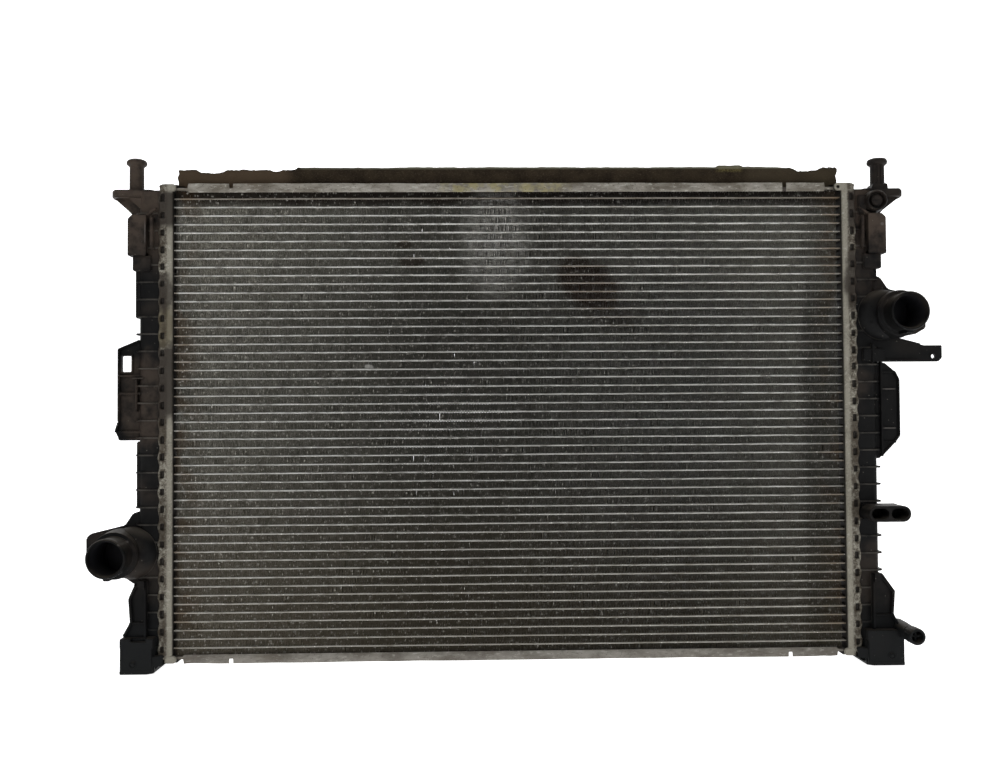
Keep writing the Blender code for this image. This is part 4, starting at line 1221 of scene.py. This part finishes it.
def make_screw(name, centre, seat, cap, cap_long, shank, shank_end, pitch, plastic, cross):
    """A cap with a knurled rim and a driver slot or cross, on a threaded shank."""
    under = seat - 1.5
    end = under - cap_long
    profile = [(0, end), (cap - 1.2, end), (cap - 0.3, end + 0.4), (cap, end + 1.2)]
    if cross:
        profile = [(0, under - 5), (cap - 2.5, under - 5), (cap - 2.4, end + 0.3), (cap - 2.1, end)]
        profile += [(cap - 0.7, end), (cap - 0.2, end + 0.5), (cap, end + 1.2)]
    profile += [(cap, under - 0.7), (cap - 0.4, under - 0.1), (cap - 1.0, under)]
    profile += [(shank, under), (shank, shank_end - 1), (shank - 1, shank_end), (0, shank_end)]
    solids = [turned(profile, "Y", centre, 48)]
    teeth = 18
    for i in range(teeth):
        angle = 2 * math.pi * i / teeth
        x = centre[0] + (cap - 0.25) * math.cos(angle)
        z = centre[1] + (cap - 0.25) * math.sin(angle)
        grip = [(0, end + 1.6), (0.42, end + 2.0), (0.42, under - 1.2), (0, under - 0.8)]
        solids.append(turned(grip, "Y", (x, z), 8))
    if cross:
        for angle in (0.0, math.pi / 2):
            bar = block((-cap + 2.2, cap - 2.2), (under - 11.0, under - 4.5), (-0.9, 0.9), 0.3)
            bar.transform(Matrix.Rotation(angle, 4, "Y"))
            bar.transform(Matrix.Translation((centre[0], 0, centre[1])))
            solids.append(bar)
    else:
        # The driver slot is the gap between two raised half discs.
        outline = arc((0, 0), cap - 1.1, 0, 350, 35)
        for side in (-1, 1):
            half = [(x, z) for x, z in outline if side * z > 0.7]
            land = prism(half, "Y", end - 0.6, end + 0.4, 0.2)
            land.transform(Matrix.Translation((centre[0], 0, centre[1])))
            solids.append(land)
    piece = assemble(name + "_detail", solids, plastic, 1, name)
    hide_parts(name)
    points, faces = thread(centre, shank, pitch, seat + 1.5, shank_end - 1.5)
    make(name + "_thread", points, faces, plastic, name)


def make_ring(name, centre, inner, outer, seat, material, body):
    """A rubber ring, round in section, between the cap and the boss."""
    middle = (inner + outer) / 2
    half = (outer - inner) / 2
    place = seat - 0.75
    profile = []
    for radius, along in arc((middle, place), half, 0, 330, 11):
        flat = max(-0.45, min(0.45, along - place))
        profile.append((radius, place + flat))
    solids = [turned(profile, "Y", centre, 48, ring=True)]
    ring = assemble(name + "_ring", solids, material, 1, body)
    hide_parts(name)


# Stage


def look_along(yaw, pitch, roll):
    """A camera's rotation: turned right by yaw, down by pitch, and tilted clockwise by roll."""
    flat = Vector((math.sin(yaw), math.cos(yaw), 0))
    right = Vector((math.cos(yaw), -math.sin(yaw), 0))
    up = Vector((0, 0, 1))
    ahead = math.cos(pitch) * flat - math.sin(pitch) * up
    over = math.sin(pitch) * flat + math.cos(pitch) * up
    side = math.cos(roll) * right - math.sin(roll) * over
    top = math.sin(roll) * right + math.cos(roll) * over
    return Matrix((side, top, -ahead)).transposed()


def make_camera():
    """The photograph's view, fitted to three tubes and the headers' inner edges."""
    data = bpy.data.cameras.new("camera")
    data.sensor_width = 36.0
    data.lens = 39.483
    camera = bpy.data.objects.new("camera", data)
    turn = look_along(math.radians(1.3904), math.radians(-1.5874), math.radians(0.3937))
    camera.matrix_world = Matrix.Translation((-0.04536, -1.0935, 0.25097)) @ turn.to_4x4()
    bpy.context.scene.collection.objects.link(camera)
    bpy.context.scene.camera = camera


def add_light(name, place, aim, size, power):
    data = bpy.data.lights.new(name, "AREA")
    data.shape = "RECTANGLE"
    data.size, data.size_y = size
    data.energy = power
    light = bpy.data.objects.new(name, data)
    light.location = place
    light.rotation_euler = (Vector(aim) - Vector(place)).to_track_quat("-Z", "Y").to_euler()
    bpy.context.scene.collection.objects.link(light)


def make_stage():
    """A pale floor that curves up into a backdrop, and soft studio light."""
    paint = bpy.data.materials.new("studio_white")
    paint.use_nodes = True
    surface = paint.node_tree.nodes["Principled BSDF"]
    surface.inputs["Base Color"].default_value = (0.9, 0.9, 0.9, 1)
    surface.inputs["Roughness"].default_value = 0.9
    surface.inputs["Specular IOR Level"].default_value = 0.1
    surface.inputs["Emission Color"].default_value = (1, 1, 1, 1)
    surface.inputs["Emission Strength"].default_value = 0.95
    profile = [(-4.0, -0.0004), (1.2, -0.0004)]
    profile += [(1.2 + y, -0.0004 + z) for y, z in arc((0, 1.0), 1.0, -82, 0, 12)]
    profile.append((2.2, 5.0))
    rows = [[(x, y, z) for x in (-6.0, 6.0)] for y, z in profile]
    mesh = bpy.data.meshes.new("backdrop")
    mesh.from_pydata([p for row in rows for p in row], [], grid_faces(len(rows), 2, False))
    mesh.materials.append(paint)
    mesh.shade_smooth()
    backdrop = bpy.data.objects.new("backdrop", mesh)
    bpy.context.scene.collection.objects.link(backdrop)
    world = bpy.data.worlds.new("studio")
    bpy.context.scene.world = world
    world.use_nodes = True
    world.node_tree.nodes["Background"].inputs[0].default_value = (0.97, 0.98, 1.0, 1)
    # The lens sees the room white all round, while the room lights the object faintly.
    seen = world.node_tree.nodes.new("ShaderNodeLightPath").outputs["Is Camera Ray"]
    strength = world.node_tree.nodes.new("ShaderNodeMapRange")
    world.node_tree.links.new(seen, strength.inputs["Value"])
    strength.inputs["To Min"].default_value = 0.08
    strength.inputs["To Max"].default_value = 1.0
    world.node_tree.links.new(strength.outputs[0], world.node_tree.nodes["Background"].inputs[1])
    add_light("key", (-1.0, -1.9, 1.5), (0, 0, 0.25), (1.2, 0.9), 10.5)
    add_light("fill", (1.3, -1.7, 1.0), (0, 0, 0.25), (1.0, 0.9), 6)
    add_light("overhead", (0, 0.2, 2.2), (0, 0.1, 0), (2.2, 1.6), 5)
    bpy.context.scene.view_settings.view_transform = "Standard"


def dress_gaskets(material):
    """The tank gaskets are the only CAD nodes that stay as they are."""
    for word in SIDES:
        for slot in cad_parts[f"gasket_{word}"].material_slots:
            slot.material = material


def main():
    make_camera()
    make_stage()
    tube = tube_metal()
    fin = fin_metal()
    header = header_metal()
    plate = plate_metal()
    plastic = tank_plastic("tank_plastic_dusty")
    clean = tank_plastic("tank_plastic_cleaner", 0.7)
    soft = foam()
    black = rubber()
    make_tubes(tube)
    make_fins(fin)
    for word, side in SIDES.items():
        make_header(word, side, header)
    make_side_plate("top", 1, plate)
    make_side_plate("bottom", -1, plate)
    make_air_seal(soft)
    make_fibres(soft)
    make_tanks(plastic, clean)
    make_screw("bleed_screw", BLEED, -22.0, 5.6, 3.8, 3.4, -15.5, 1.75, clean, False)
    make_screw("drain_plug", DRAIN, -42.0, 8.0, 16.6, 4.2, -26.0, 3.0, clean, True)
    make_ring("bleed_screw_seal", BLEED, 3.6, 5.2, -22.0, black, "bleed_ring")
    make_ring("drain_plug_seal", DRAIN, 4.4, 6.8, -42.0, black, "drain_ring")
    dress_gaskets(black)


main()
